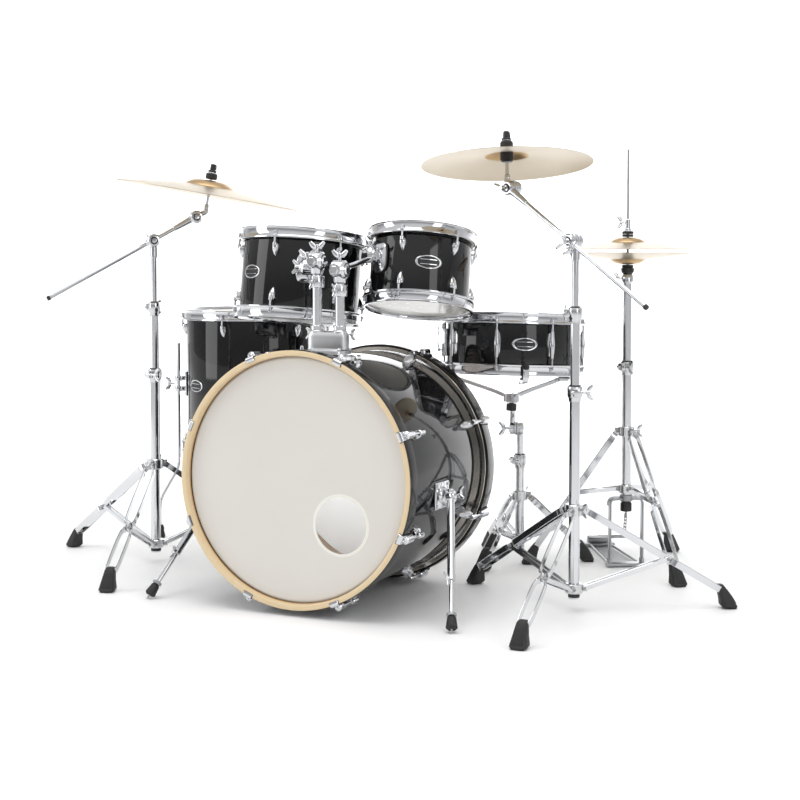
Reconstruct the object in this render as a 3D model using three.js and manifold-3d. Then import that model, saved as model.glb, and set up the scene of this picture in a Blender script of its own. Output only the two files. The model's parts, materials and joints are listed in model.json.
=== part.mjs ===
// A five-piece acoustic drum kit with two boom cymbal stands, hi-hats and a kick pedal.
// Millimetres, +Z up. +X is the right side as the audience sees the kit, +Y points from the
// audience to the drummer. The origin is on the floor, under the middle of the kit's box.
// The kit is laid out from a point on the floor under the bass drum's front hoop, and is
// moved to its origin on the last lines. Empty objects named ..._axis mark the joints' axes.
import * as THREE from "three";
import { mergeVertices } from "three/addons/utils/BufferGeometryUtils.js";
import Module from "manifold-3d";

const wasm = await Module();
wasm.setup();

// ---- Driving dimensions ----
const INCH = 25.4;
const GAP = 0.4; // clearance between touching pieces
const RING_SIDES = 16; // facets round a drum with metal hoops
const BASS_SIDES = 24;
const CYMBAL_SIDES = 18;
const TUBE_SIDES = 12;
const ROD_SIDES = 4;

const SHELL_WALL = 7;
const SHELL_INSET = 1.5; // the shell's radius is this much under half its nominal size
const FILM = 1.5; // drum-head sheet
const HEAD_RIM = 4.5; // thickness of a head's rim round the shell
const HEAD_COLLAR = 14; // how far a tom head's rim reaches along the shell

const HOOP_WALL = 2.5;
const HOOP_RISE = 11; // metal hoop above the head
const HOOP_DROP = 18; // metal hoop below the head
const HOOP_FLANGE = 13.5; // flange radius beyond the shell
const ROD_OFFSET = 10.8; // tension rods beyond the shell
const ROD_RADIUS = 2.6;
const LUG_REACH = 15;
const LUG_WIDTH = 14;
const SEAT = 5.5; // how far a fitting's block reaches into the shell's wall

const BASS = { diameter: 22 * INCH, depth: 18 * INCH, lugs: 8, lugLength: 50 };
const BASS_FRONT_HEIGHT = 307.5; // height of the front hoop's middle
const BASS_REAR_HEIGHT = 294.3; // the rear hoop stands on the floor
const BASS_HOOP = { outer: 294, inner: 284, depth: 40, rise: 20 };
const BASS_COLLAR = 26;
const PORT = { radius: 66, x: 116, y: -96 };

const LARGE_TOM = {
  name: "large_tom", diameter: 12 * INCH, depth: 8 * INCH, lugs: 6, lugLength: 44,
  at: [-202, 416, 756], lean: [0.021, 0.12, 1], facing: -57, tilter: [-30, 180, 800], holder: 0,
};
const SMALL_TOM = {
  name: "small_tom", diameter: 10 * INCH, depth: 7 * INCH, lugs: 6, lugLength: 44,
  at: [97, 490, 772], lean: [-0.03, 0.229, 1], facing: -57, tilter: [30, 180, 780], holder: -60,
};
const FLOOR_TOM = {
  name: "floor_tom", diameter: 16 * INCH, depth: 16 * INCH, lugs: 6, lugLength: 44,
  at: [-573, 828, 444], lean: [0, 0, 1], facing: -56.5,
};
const SNARE = {
  name: "snare", diameter: 14 * INCH, depth: 5.5 * INCH, lugs: 8, lugLength: 78,
  at: [228, 797, 578], lean: [0, 0.06, 1], facing: -59.5,
};
const FLOOR_TOM_LEG = { radius: 5, ring: 225, foot: 281, first: -146.5 };

const RIDE = {
  name: "ride", base: [-612, 364], firstLeg: 44.5, legReach: 347, collars: [502, 677],
  legTop: 264, legBottom: 53, knee: 0.6, tilterHeight: 851, edge: [-504, 460, 970.5],
  lean: [0.158, 0.0735, 1], diameter: 20 * INCH, rise: 40, boomRear: 2.42,
};
const CRASH = {
  name: "crash", base: [563, 311], firstLeg: -89.5, legReach: 362, collars: [505, 684],
  legTop: 234, legBottom: 54, knee: 0.6, tilterHeight: 846, edge: [366, 390, 1028],
  lean: [-0.08, 0.124, 1], diameter: 16 * INCH, rise: 36, boomRear: 1.17,
};
const HIHAT = {
  base: [526, 845], firstLeg: -43, legReach: 252, legTop: 355, legBottom: 205, knee: 0.52,
  collar: [512, 561], edge: 824, gap: 10, diameter: 14 * INCH, rise: 30, rodTop: 1087,
  pedal: 122,
};
const SNARE_STAND = {
  base: [243, 812], firstLeg: 18.6, legReach: 178, legTop: 173, legBottom: 61, knee: 0.6,
  collar: 259, tilterHeight: 352, tilterSide: 205,
};
const TUBES = { lower: 12.7, middle: 11.1, upper: 8.2, wall: 1.1 };
const TILTER = { radius: 18, start: 10, thickness: 20 }; // half of a round ratchet joint
const KICK = { y: 515, shaftHeight: 205, halfWidth: 52, beater: 190, swing: 42, heel: 790 };

// ---- Materials ----
const finish = (color, roughness, metalness) =>
  new THREE.MeshStandardMaterial({ color, roughness, metalness });
const BLACK_WRAP = finish(0x0b0b0d, 0.12, 0);
const CHROME = finish(0xd6d8da, 0.12, 1);
const MAPLE = finish(0xcfae78, 0.45, 0);
const BLACK_WOOD = finish(0x0d0d0e, 0.2, 0);
const COATED_FILM = finish(0xe9e6de, 0.7, 0);
const CLEAR_FILM = finish(0xdfe2e2, 0.25, 0);
const BRONZE = finish(0xcbb994, 0.35, 1);
const STEEL = finish(0xa9abad, 0.3, 1);

// ---- Shapes ----
const point = (x, y, z) => new THREE.Vector3(x, y, z);
const radians = THREE.MathUtils.degToRad;
const UP = point(0, 0, 1);
const polar = (radius, degrees, z = 0) =>
  point(radius * Math.cos(radians(degrees)), radius * Math.sin(radians(degrees)), z);
const ring = (count, first, make) =>
  Array.from({ length: count }, (_, i) => make(first + (360 * i) / count, i));

function asSolid(shape) {
  if (!shape.isBufferGeometry) return shape;
  const bare = shape.clone();
  bare.deleteAttribute("normal");
  bare.deleteAttribute("uv");
  const merged = mergeVertices(bare, 1e-3);
  return new wasm.Manifold(new wasm.Mesh({
    numProp: 3,
    vertProperties: merged.attributes.position.array,
    triVerts: new Uint32Array(merged.index.array),
  }));
}

const join = (...shapes) => shapes.flat().map(asSolid).reduce((whole, next) => whole.add(next));
const cut = (shape, ...tools) =>
  tools.flat().map(asSolid).reduce((whole, tool) => whole.subtract(tool), asSolid(shape));

// One named piece of the kit.
function piece(name, shape, material) {
  const { vertProperties, triVerts } = asSolid(shape).getMesh();
  const geometry = new THREE.BufferGeometry();
  geometry.setAttribute("position", new THREE.BufferAttribute(vertProperties, 3));
  geometry.setIndex(new THREE.BufferAttribute(triVerts, 1));
  geometry.computeVertexNormals();
  const mesh = new THREE.Mesh(geometry, material);
  mesh.name = name;
  return mesh;
}

// A solid turned about +Z. The [radius, height] points run anticlockwise.
function turned(profile, sides) {
  const closed = profile[0][0] > 0 ? [...profile, profile[0]] : profile;
  const points = closed.map(([radius, height]) => new THREE.Vector2(radius, height));
  return new THREE.LatheGeometry(points, sides).rotateX(Math.PI / 2);
}

// A pipe along +Z, from z0 to z1.
const pipe = (outer, inner, z0, z1, sides = TUBE_SIDES) =>
  turned([[inner, z0], [outer, z0], [outer, z1], [inner, z1]], sides);

// A round rod between two points.
function rod(from, to, radius, sides = TUBE_SIDES) {
  const along = to.clone().sub(from);
  const turn = new THREE.Quaternion().setFromUnitVectors(
    point(0, 1, 0), along.clone().normalize());
  const middle = from.clone().add(to).multiplyScalar(0.5);
  return new THREE.CylinderGeometry(radius, radius, along.length(), sides)
    .applyQuaternion(turn)
    .translate(...middle.toArray());
}

// A disc or round boss: a rod of this thickness, centred on a point.
function boss(centre, axis, radius, thickness, sides = TUBE_SIDES) {
  const half = axis.clone().normalize().multiplyScalar(thickness / 2);
  return rod(centre.clone().sub(half), centre.clone().add(half), radius, sides);
}

// A flat bar between two points; its width lies level unless a side is given.
function bar(from, to, width, thickness, side = null) {
  const along = to.clone().sub(from);
  const lengthwise = along.clone().normalize();
  const across = (side ?? UP.clone().cross(lengthwise)).clone().normalize();
  const through = across.clone().cross(lengthwise);
  const middle = from.clone().add(to).multiplyScalar(0.5);
  const frame = new THREE.Matrix4().makeBasis(across, lengthwise, through);
  return new THREE.BoxGeometry(width, along.length(), thickness)
    .applyMatrix4(frame.setPosition(middle));
}

const block = (sizes, centre) => new THREE.BoxGeometry(...sizes).translate(...centre);

// A block standing on a circle round the Z axis.
const radialBlock = (inner, outer, width, z0, z1, degrees) =>
  block([outer - inner, width, z1 - z0], [(outer + inner) / 2, 0, (z0 + z1) / 2])
    .rotateZ(radians(degrees));

// An empty object on a joint's axis, with its +Z along the axis.
function axisMark(name, at, axis) {
  const mark = new THREE.Object3D();
  mark.name = `${name}_axis`;
  mark.position.copy(at);
  mark.quaternion.setFromUnitVectors(UP, axis.clone().normalize());
  return mark;
}

// ---- Drums: each is a group with its middle at the origin and its axis on +Z ----
const shellRadius = (drum) => drum.diameter / 2 - SHELL_INSET;

const drumShell = (drum, sides) => {
  const radius = shellRadius(drum);
  return pipe(radius, radius - SHELL_WALL, -drum.depth / 2, drum.depth / 2, sides);
};

// A drum head: a film over the shell's edge, and a rim round the shell.
function drumHead(drum, collar, sides) {
  const radius = shellRadius(drum);
  const edge = drum.depth / 2 + GAP;
  return turned([
    [0, edge], [radius + 0.6, edge], [radius + 0.6, edge - collar],
    [radius + HEAD_RIM, edge - collar], [radius + HEAD_RIM, edge + FILM], [0, edge + FILM],
  ], sides);
}

// Where the outer end of a lug lies along the drum's axis.
const lugEnd = (drum) =>
  drum.name === "snare" ? drum.lugLength / 2 : drum.depth / 2 - 31;

// A flanged metal hoop with its tension rods.
function metalHoop(drum) {
  const radius = shellRadius(drum);
  const edge = drum.depth / 2;
  const inner = radius + HEAD_RIM + 0.7;
  const outer = inner + HOOP_WALL;
  const flange = radius + HOOP_FLANGE;
  const low = edge - HOOP_DROP;
  const hoop = turned([
    [inner, low], [flange, low], [flange, low + 3],
    [outer, low + 3], [outer, edge + HOOP_RISE], [inner, edge + HOOP_RISE],
  ], RING_SIDES);
  const rods = ring(drum.lugs, 180 / drum.lugs, (angle) => rod(
    polar(radius + ROD_OFFSET, angle, lugEnd(drum) + GAP),
    polar(radius + ROD_OFFSET, angle, low + 12), ROD_RADIUS, ROD_SIDES));
  return join(hoop, rods);
}

function drumLugs(drum) {
  const radius = shellRadius(drum);
  const end = lugEnd(drum);
  const spans = drum.name === "snare"
    ? [[-end, end]]
    : [[end - drum.lugLength, end], [-end, drum.lugLength - end]];
  return spans.flatMap(([z0, z1]) => ring(drum.lugs, 180 / drum.lugs, (angle) =>
    radialBlock(radius - SEAT, radius + LUG_REACH, LUG_WIDTH, z0, z1, angle)));
}

function drumGroup(drum) {
  const group = new THREE.Group();
  group.position.set(...drum.at);
  const lean = new THREE.Quaternion().setFromUnitVectors(
    UP, point(...drum.lean).normalize());
  const facing = new THREE.Quaternion().setFromAxisAngle(UP, radians(drum.facing));
  group.quaternion.copy(lean).multiply(facing);
  group.updateMatrixWorld(true);
  return group;
}

// Shell, two heads and two metal hoops; the lower head and hoop are the upper ones turned over.
function drum(spec, fittings = []) {
  const group = drumGroup(spec);
  group.add(piece(`${spec.name}_shell`,
    join(drumShell(spec, RING_SIDES), drumLugs(spec), fittings), BLACK_WRAP));
  const ends = [["batter", 0, COATED_FILM], ["resonant", Math.PI, CLEAR_FILM]];
  for (const [end, turn, film] of ends) {
    const head = piece(`${spec.name}_${end}_head`, drumHead(spec, HEAD_COLLAR, RING_SIDES), film);
    const hoop = piece(`${spec.name}_${end}_hoop`, metalHoop(spec), CHROME);
    for (const mesh of [head, hoop]) {
      mesh.rotation.x = turn;
      group.add(mesh);
    }
  }
  return group;
}

// ---- Bass drum: its group's +Z points at the audience, and its +Y up ----
const bassRadius = shellRadius(BASS);
const bassHalf = BASS.depth / 2;
const bassLength = BASS.depth + 2 * BASS_HOOP.rise;
const bassGroup = new THREE.Group();
bassGroup.position.set(0, bassLength / 2, (BASS_FRONT_HEIGHT + BASS_REAR_HEIGHT) / 2);
bassGroup.rotation.x =
  Math.PI / 2 - Math.asin((BASS_FRONT_HEIGHT - BASS_REAR_HEIGHT) / bassLength);
bassGroup.updateMatrixWorld(true);

// A wooden hoop with eight claws and their tension rods.
function woodenHoop() {
  const front = bassHalf + BASS_HOOP.rise;
  const back = front - BASS_HOOP.depth;
  const hoop = pipe(BASS_HOOP.outer, BASS_HOOP.inner, back, front, BASS_SIDES);
  const lug = bassHalf - 62;
  const claws = ring(BASS.lugs, 22.5, (angle) => [
    radialBlock(BASS_HOOP.inner + 3, BASS_HOOP.outer + 7, 22, front - 2, front + 3.5, angle),
    radialBlock(BASS_HOOP.outer - 4, BASS_HOOP.outer + 7, 22, back - 10, front, angle),
    rod(polar(BASS_HOOP.outer + 2.5, angle, lug + GAP),
      polar(BASS_HOOP.outer + 2.5, angle, back), 3.2, ROD_SIDES),
  ]);
  return join(hoop, claws.flat());
}

const SPUR_ROOT = point(bassRadius, -38, 43); // on the shell, in the drum's own frame
const bassLugSpans = [
  [bassHalf - 62 - BASS.lugLength, bassHalf - 62],
  [62 - bassHalf, 62 - bassHalf + BASS.lugLength],
];
const bassLugs = bassLugSpans.flatMap(([z0, z1]) => ring(BASS.lugs, 22.5, (angle) =>
  radialBlock(bassRadius - 3, BASS_HOOP.outer + 9, 20, z0, z1, angle)));
const spurBrackets = [-1, 1].map((side) =>
  block([20, 56, 60], [side * (SPUR_ROOT.x + 2), SPUR_ROOT.y, SPUR_ROOT.z]));
const portHole = rod(point(PORT.x, PORT.y, 0), point(PORT.x, PORT.y, bassLength), PORT.radius, 24);
const bassHead = drumHead(BASS, BASS_COLLAR, BASS_SIDES);
bassGroup.add(piece("bass_drum_shell",
  join(drumShell(BASS, BASS_SIDES), bassLugs, spurBrackets), BLACK_WRAP));
bassGroup.add(piece("bass_drum_front_head", cut(bassHead, portHole), COATED_FILM));
bassGroup.add(piece("bass_drum_front_hoop", woodenHoop(), MAPLE));
for (const rear of [
  piece("bass_drum_batter_head", bassHead, CLEAR_FILM),
  piece("bass_drum_rear_hoop", woodenHoop(), BLACK_WOOD),
]) {
  rear.rotation.x = Math.PI;
  bassGroup.add(rear);
}

// A spur: a thick tube, a thinner rod, and a rubber tip on the floor. It folds forward.
function bassSpur(side) {
  const root = bassGroup.localToWorld(point(side * (SPUR_ROOT.x + 24), SPUR_ROOT.y, SPUR_ROOT.z));
  const tip = point(side * 392, 0, 1);
  const along = tip.clone().sub(root);
  const at = (part) => root.clone().addScaledVector(along, part);
  const axis = along.clone().cross(point(0, -1, 0)).normalize();
  const shape = join(
    boss(root, axis, 16, 12),
    rod(at(0), at(0.62), 9.5, 10),
    rod(at(0.55), at(0.9), 5.5, 8),
    rod(at(0.86), at(0.97), 12, 8));
  const name = side < 0 ? "left" : "right";
  return [piece(`bass_spur_${name}`, shape, CHROME), axisMark(`spur_${name}_fold`, root, axis)];
}

// ---- Tom holder: a bracket on the bass drum, two posts with tilters, and an arm to each tom ----
const HOLDER = { y: 180, base: 581.8, top: 638, post: 11 };

function tomHolder() {
  return piece("tom_bracket", join(
    block([92, 74, 18], [0, HOLDER.y + 8, HOLDER.base + 9]),
    block([100, 40, HOLDER.top - HOLDER.base - 12],
      [0, HOLDER.y, (HOLDER.top + HOLDER.base + 12) / 2])), CHROME);
}

function tomMount(spec, group) {
  const tilter = point(...spec.tilter);
  const post = join(
    rod(point(tilter.x, HOLDER.y, HOLDER.top + 1), tilter, HOLDER.post),
    rod(point(tilter.x, HOLDER.y, tilter.z - 62), point(tilter.x, HOLDER.y, tilter.z - 34), 17),
    boss(tilter, point(1, 0, 0), 23, 40, 14));
  const radius = shellRadius(spec);
  const seat = (out) => group.localToWorld(polar(out, spec.holder, 12));
  const away = seat(radius + 16).sub(tilter).normalize();
  const plate = radialBlock(radius + 2, radius + 18, 46, -22, 46, spec.holder)
    .applyMatrix4(group.matrixWorld);
  const arm = join(rod(tilter.clone().addScaledVector(away, 32), seat(radius + 12), 6.4, 10), plate);
  const sideways = point(...SMALL_TOM.at).sub(point(...LARGE_TOM.at)).setZ(0).normalize();
  return [
    piece(`${spec.name}_post`, post, CHROME),
    piece(`${spec.name}_arm`, arm, CHROME),
    axisMark(`${spec.name}_swivel`, point(tilter.x, HOLDER.y, HOLDER.top), UP),
    axisMark(`${spec.name}_tilt`, tilter, sideways),
  ];
}

// ---- Floor tom legs ----
function floorTomLeg(angle, index) {
  const spec = FLOOR_TOM_LEG;
  const centre = point(FLOOR_TOM.at[0], FLOOR_TOM.at[1], 0);
  const at = (radius, z) => polar(radius, angle, z).add(centre);
  const shape = join(
    rod(at(spec.ring, 200), at(spec.ring, 560), spec.radius, 8),
    rod(at(spec.ring, 203), at(spec.foot - 8, 120), spec.radius, 8),
    rod(at(spec.foot - 8, 122), at(spec.foot, 20), spec.radius, 8),
    pipe(15, 3, 0, 34, 10).translate(...at(spec.foot, 0).toArray()));
  return [
    piece(`floor_tom_leg_${index + 1}`, shape, CHROME),
    axisMark(`floor_tom_leg_${index + 1}_height`, at(spec.ring, 380), UP),
  ];
}

// A clamp on the floor tom's shell with a bore for its leg.
const legClamp = (angle) => {
  const radius = shellRadius(FLOOR_TOM);
  const local = angle - FLOOR_TOM.facing;
  const hole = rod(polar(FLOOR_TOM_LEG.ring, local, -60), polar(FLOOR_TOM_LEG.ring, local, 60),
    FLOOR_TOM_LEG.radius + 1, 8);
  return cut(radialBlock(radius - SEAT, radius + 37, 30, -24, 24, local), hole);
};

// ---- Stands ----
// Three flat legs and their braces round an upright tube, on rubber feet.
function tripod(spec) {
  const legs = ring(3, spec.firstLeg, (angle) => {
    const top = polar(16, angle, spec.legTop);
    const foot = polar(spec.legReach, angle, 30);
    return [
      bar(top, foot, 24, 6),
      bar(polar(15, angle, spec.legBottom), top.clone().lerp(foot, spec.knee), 18, 5),
      bar(polar(spec.legReach - 24, angle, 52), polar(spec.legReach + 8, angle, 0.2), 40, 26),
    ];
  });
  return legs.flat();
}

// The upright of a stand: a pipe with a clamp collar at its top.
function upright(radius, inner, bottom, collar, top, collarRadius) {
  return turned([
    [inner, bottom], [radius, bottom], [radius, collar],
    [collarRadius, collar], [collarRadius, top], [inner, top],
  ], TUBE_SIDES);
}

const legCollars = (spec, inner) => [spec.legTop, spec.legBottom].map((z) =>
  pipe(22, inner, z - 14, z + 12));

function feetAtFloor(shape) {
  return shape.intersect(asSolid(block([2400, 2400, 1600], [0, 0, 800])));
}

// Half of a ratchet joint beside a pivot: -1 holds the fixed half, +1 the moving one.
function tilterHalf(pivot, side, sign) {
  const half = TILTER.thickness / 2;
  const centre = pivot.clone()
    .addScaledVector(side, sign < 0 ? TILTER.start - GAP - half : TILTER.start + half);
  return boss(centre, side, TILTER.radius, TILTER.thickness, 14);
}

function cymbal(spec, hole = 7) {
  const radius = spec.diameter / 2;
  const bell = radius * 0.26;
  const top = spec.rise;
  const shoulder = top * 0.58;
  return turned([
    [hole, top - 3], [bell, shoulder - 2.4], [radius * 0.66, shoulder * 0.5 - 2],
    [radius, -1.2], [radius, 0], [radius * 0.66, shoulder * 0.5], [bell, shoulder],
    [hole, top],
  ], CYMBAL_SIDES);
}

function placed(mesh, at, lean) {
  mesh.position.copy(at);
  mesh.quaternion.setFromUnitVectors(UP, lean.clone().normalize());
  return mesh;
}

function boomStand(spec) {
  const { name } = spec;
  const base = point(spec.base[0], spec.base[1], 0);
  const [lowCollar, highCollar] = spec.collars;
  const lowBore = TUBES.lower - TUBES.wall;
  const midBore = TUBES.middle - TUBES.wall;
  const lean = point(...spec.lean).normalize();
  const edge = point(...spec.edge);
  const tilter = base.clone().setZ(spec.tilterHeight);
  const level = edge.clone().sub(tilter).setZ(0).normalize();
  const pivot = edge.clone().addScaledVector(lean, -58).addScaledVector(level, -22);
  const boom = pivot.clone().sub(tilter);
  const side = UP.clone().cross(level).normalize();
  const offset = side.clone().multiplyScalar(TILTER.start + TILTER.thickness / 2);
  const along = (part) => tilter.clone().add(offset).addScaledVector(boom, part);

  const lower = cut(join(
    upright(TUBES.lower, lowBore, 34, lowCollar - 14, lowCollar + 12, 19),
    legCollars(spec, lowBore), tripod(spec)), rod(point(0, 0, -10), point(0, 0, 900), lowBore));
  const middle = upright(TUBES.middle, midBore, lowCollar - 190, highCollar - 14, highCollar + 12, 17);
  const upper = join(
    rod(point(0, 0, highCollar - 150), point(0, 0, spec.tilterHeight), TUBES.upper),
    tilterHalf(point(0, 0, spec.tilterHeight), side, -1));
  const arm = join(
    rod(along(-spec.boomRear), along(1), 6.6, 10),
    tilterHalf(tilter, side, 1), tilterHalf(pivot, side, 1));
  const seatHeight = spec.rise - 3;
  const head = edge.clone();
  const up = (height) => head.clone().addScaledVector(lean, height);
  const cymbalTilter = join(
    tilterHalf(pivot, side, -1),
    rod(pivot, up(-46), 8, 8),
    rod(up(-50), up(spec.rise + 44), 3.6, 8),
    rod(up(seatHeight - 18), up(seatHeight - 2.6), 11, 8),
    rod(up(spec.rise + 0.6), up(spec.rise + 22), 15, 8));
  const meshes = [
    placed(piece(`${name}_tripod`, feetAtFloor(lower), CHROME), base, UP),
    placed(piece(`${name}_middle_tube`, middle, CHROME), base, UP),
    placed(piece(`${name}_upper_tube`, upper, CHROME), base, UP),
    piece(`${name}_boom_arm`, arm, CHROME),
    piece(`${name}_cymbal_tilter`, cymbalTilter, CHROME),
    placed(piece(`${name}_cymbal`, cymbal(spec), BRONZE), edge, lean),
  ];
  const marks = [
    axisMark(`${name}_height`, base.clone().setZ(lowCollar), UP),
    axisMark(`${name}_swivel`, base.clone().setZ(highCollar), UP),
    axisMark(`${name}_boom_tilt`, tilter, side),
    axisMark(`${name}_cymbal_tilt`, pivot, side),
    axisMark(`${name}_swing`, up(spec.rise - 3), level),
  ];
  return [...meshes, ...marks];
}

// ---- Snare stand ----
function snareStand() {
  const spec = SNARE_STAND;
  const base = point(spec.base[0], spec.base[1], 0);
  const bore = 10.9;
  const lower = cut(join(
    upright(TUBES.lower, bore, 30, spec.collar, spec.collar + 24, 19),
    legCollars(spec, bore), tripod(spec)), rod(point(0, 0, -10), point(0, 0, 600), bore));
  const side = polar(1, spec.tilterSide);
  const upper = join(
    rod(point(0, 0, 90), point(0, 0, spec.tilterHeight), 9.5),
    tilterHalf(point(0, 0, spec.tilterHeight), side, -1));
  const pivot = base.clone().setZ(spec.tilterHeight);
  const snare = point(...SNARE.at);
  const normal = point(...SNARE.lean).normalize();
  const underside = snare.clone().addScaledVector(normal, -SNARE.depth / 2 - HOOP_RISE - 1);
  const hub = underside.clone().addScaledVector(normal, -62);
  const basis = new THREE.Matrix4()
    .makeRotationFromQuaternion(new THREE.Quaternion().setFromUnitVectors(UP, normal))
    .setPosition(hub);
  const hoopEdge = shellRadius(SNARE) + HOOP_FLANGE;
  const arms = ring(3, SNARE.facing, (angle) => [
    bar(polar(0, angle, 0), polar(150, angle, 46), 12, 9),
    bar(polar(146, angle, 46), polar(hoopEdge + 8, angle, 50), 12, 9),
    radialBlock(hoopEdge + 1.2, hoopEdge + 16, 20, 44, 88, angle),
    radialBlock(hoopEdge - 22, hoopEdge + 6, 20, 48, 61, angle),
  ]).flat().map((shape) => shape.applyMatrix4(basis));
  const neck = (height) => pivot.clone().addScaledVector(side, 20).add(point(0, 0, height));
  const basket = join(
    tilterHalf(pivot, side, 1),
    rod(neck(0), neck(46), 8, 8),
    rod(neck(42), hub, 8, 8),
    boss(hub, normal, 26, 24), arms);
  return [
    placed(piece("snare_stand_tripod", feetAtFloor(lower), CHROME), base, UP),
    placed(piece("snare_stand_upper_tube", upper, CHROME), base, UP),
    piece("snare_stand_basket", basket, CHROME),
    axisMark("snare_height", base.clone().setZ(spec.collar), UP),
    axisMark("snare_tilt", pivot, side),
  ];
}

// ---- Snare drum fittings: a strainer on one side, a butt plate on the other, and the lever ----
const STRAINER = { angle: -90, pivotHeight: 20 };
const snareRadius = shellRadius(SNARE);
const snareFittings = [
  radialBlock(snareRadius - SEAT, snareRadius + 16, 34, -38, 38, STRAINER.angle),
  radialBlock(snareRadius - SEAT, snareRadius + 14, 30, -30, 14, STRAINER.angle + 180),
];

function strainerLever(group) {
  const pivot = polar(snareRadius + 22, STRAINER.angle, -STRAINER.pivotHeight);
  const side = polar(1, STRAINER.angle + 90);
  const lever = join(
    boss(pivot, side, 5, 30, 8),
    bar(pivot, polar(snareRadius + 24, STRAINER.angle, 40), 14, 5, side));
  const mesh = piece("snare_strainer_lever", lever, CHROME);
  group.add(mesh);
  return axisMark("strainer_lever", group.localToWorld(pivot.clone()),
    side.clone().transformDirection(group.matrixWorld));
}

// ---- Hi-hat ----
function hiHat() {
  const spec = HIHAT;
  const base = point(spec.base[0], spec.base[1], 0);
  const bore = 11.6;
  const heading = polar(1, spec.pedal);
  const across = polar(1, spec.pedal - 90);
  const out = (forward, sideways, z) =>
    heading.clone().multiplyScalar(forward).addScaledVector(across, sideways).setZ(z);
  const frameTop = 178;
  const frameHalf = 42;
  const frame = [
    bar(out(0, -frameHalf - 4, frameTop), out(0, frameHalf + 4, frameTop), 20, 12, heading),
    ...[-frameHalf, frameHalf].map((x) => bar(out(0, x, 8), out(0, x, frameTop), 8, 16, across)),
    bar(out(0, -frameHalf - 6, 7), out(0, frameHalf + 6, 7), 26, 10, heading),
    bar(out(0, 0, 5), out(292, 0, 5), 22, 6, across),
    bar(out(262, 0, 9), out(320, 0, 9), 74, 16, across),
  ];
  const stand = cut(join(
    upright(TUBES.lower, bore, frameTop - 4, spec.collar[0], spec.collar[1], 19),
    pipe(20, bore, spec.legTop - 16, spec.legTop + 16),
    pipe(20, bore, spec.legBottom - 10, spec.legBottom + 10),
    tripod(spec), frame), rod(point(0, 0, 150), point(0, 0, 900), bore));
  const seat = spec.edge - spec.gap / 2 - spec.rise;
  const upper = turned([
    [5, 330], [11.1, 330], [11.1, seat - 48], [16, seat - 44], [16, seat - 26],
    [7, seat - 22], [7, seat - 14], [17, seat - 14], [17, seat - GAP], [5, seat - GAP],
  ], TUBE_SIDES);
  const low = spec.edge - spec.gap / 2;
  const high = spec.edge + spec.gap / 2;
  const pull = join(
    rod(point(0, 0, 128), point(0, 0, spec.rodTop), 3, 8),
    rod(point(0, 0, high + spec.rise - 22), point(0, 0, high + spec.rise - 5.6), 9.5, 8),
    rod(point(0, 0, high + spec.rise + 0.5), point(0, 0, high + spec.rise + 14), 15, 10),
    rod(point(0, 0, high + spec.rise + 12), point(0, 0, high + spec.rise + 46), 8, 10));
  const heel = out(292, 0, 24);
  const toe = out(28, 0, 72);
  const board = join(bar(heel, toe, 68, 7, across), bar(out(284, 0, 24), out(304, 0, 24), 56, 10, across));
  const local = [
    ["hihat_stand", feetAtFloor(stand), CHROME],
    ["hihat_upper_tube", upper, CHROME],
    ["hihat_pull_rod", pull, STEEL],
    ["hihat_footboard", board, STEEL],
  ].map(([name, shape, material]) => placed(piece(name, shape, material), base, UP));
  const top = placed(piece("hihat_top_cymbal", cymbal(spec, 5), BRONZE), base.clone().setZ(high), UP);
  const bottom = placed(
    piece("hihat_bottom_cymbal", cymbal(spec, 7), BRONZE), base.clone().setZ(low), point(0, 0, -1));
  return [
    ...local, top, bottom,
    axisMark("hihat_height", base.clone().setZ(spec.collar[0]), UP),
    axisMark("hihat_clutch_height", base.clone().setZ(high + spec.rise), UP),
    axisMark("hihat_pedal", out(292, 0, 24).add(base), across),
  ];
}

// ---- Kick pedal ----
function kickPedal() {
  const spec = KICK;
  const shaft = point(0, spec.y + 24, spec.shaftHeight);
  const wide = point(1, 0, 0);
  const frame = join(
    block([112, 60, 9], [0, spec.y + 15, 5]),
    block([40, spec.heel - spec.y, 6], [0, (spec.heel + spec.y) / 2, 4]),
    block([84, 46, 12], [0, spec.heel, 7]),
    block([44, 22, 30], [0, spec.y - 4, 22]),
    [-1, 1].flatMap((sign) => [
      bar(point(sign * spec.halfWidth, shaft.y, 4), point(sign * spec.halfWidth, shaft.y, shaft.z + 12),
        20, 12, point(0, 1, 0)),
    ]));
  const lean = radians(spec.swing);
  const swing = (length) => shaft.clone().add(
    point(0, Math.sin(lean) * length, Math.cos(lean) * length));
  const beaterHead = swing(spec.beater);
  const beater = join(
    boss(shaft, wide, 7, 2 * spec.halfWidth - 14),
    boss(shaft, wide, 24, 14, 16),
    rod(swing(-6), swing(spec.beater), 3.4, 8),
    boss(beaterHead, wide, 24, 40, 12));
  const heel = point(0, spec.heel, 22);
  const toe = point(0, spec.y + 52, 84);
  const board = join(
    bar(heel, toe, 74, 7, wide),
    bar(point(0, spec.heel + 8, 22), point(0, spec.heel - 12, 22), 60, 9, wide));
  return [
    piece("kick_pedal_frame", frame, STEEL),
    piece("kick_pedal_beater", beater, STEEL),
    piece("kick_pedal_footboard", board, STEEL),
    axisMark("kick_pedal", heel, wide),
    axisMark("kick_beater", shaft, wide),
  ];
}

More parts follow.
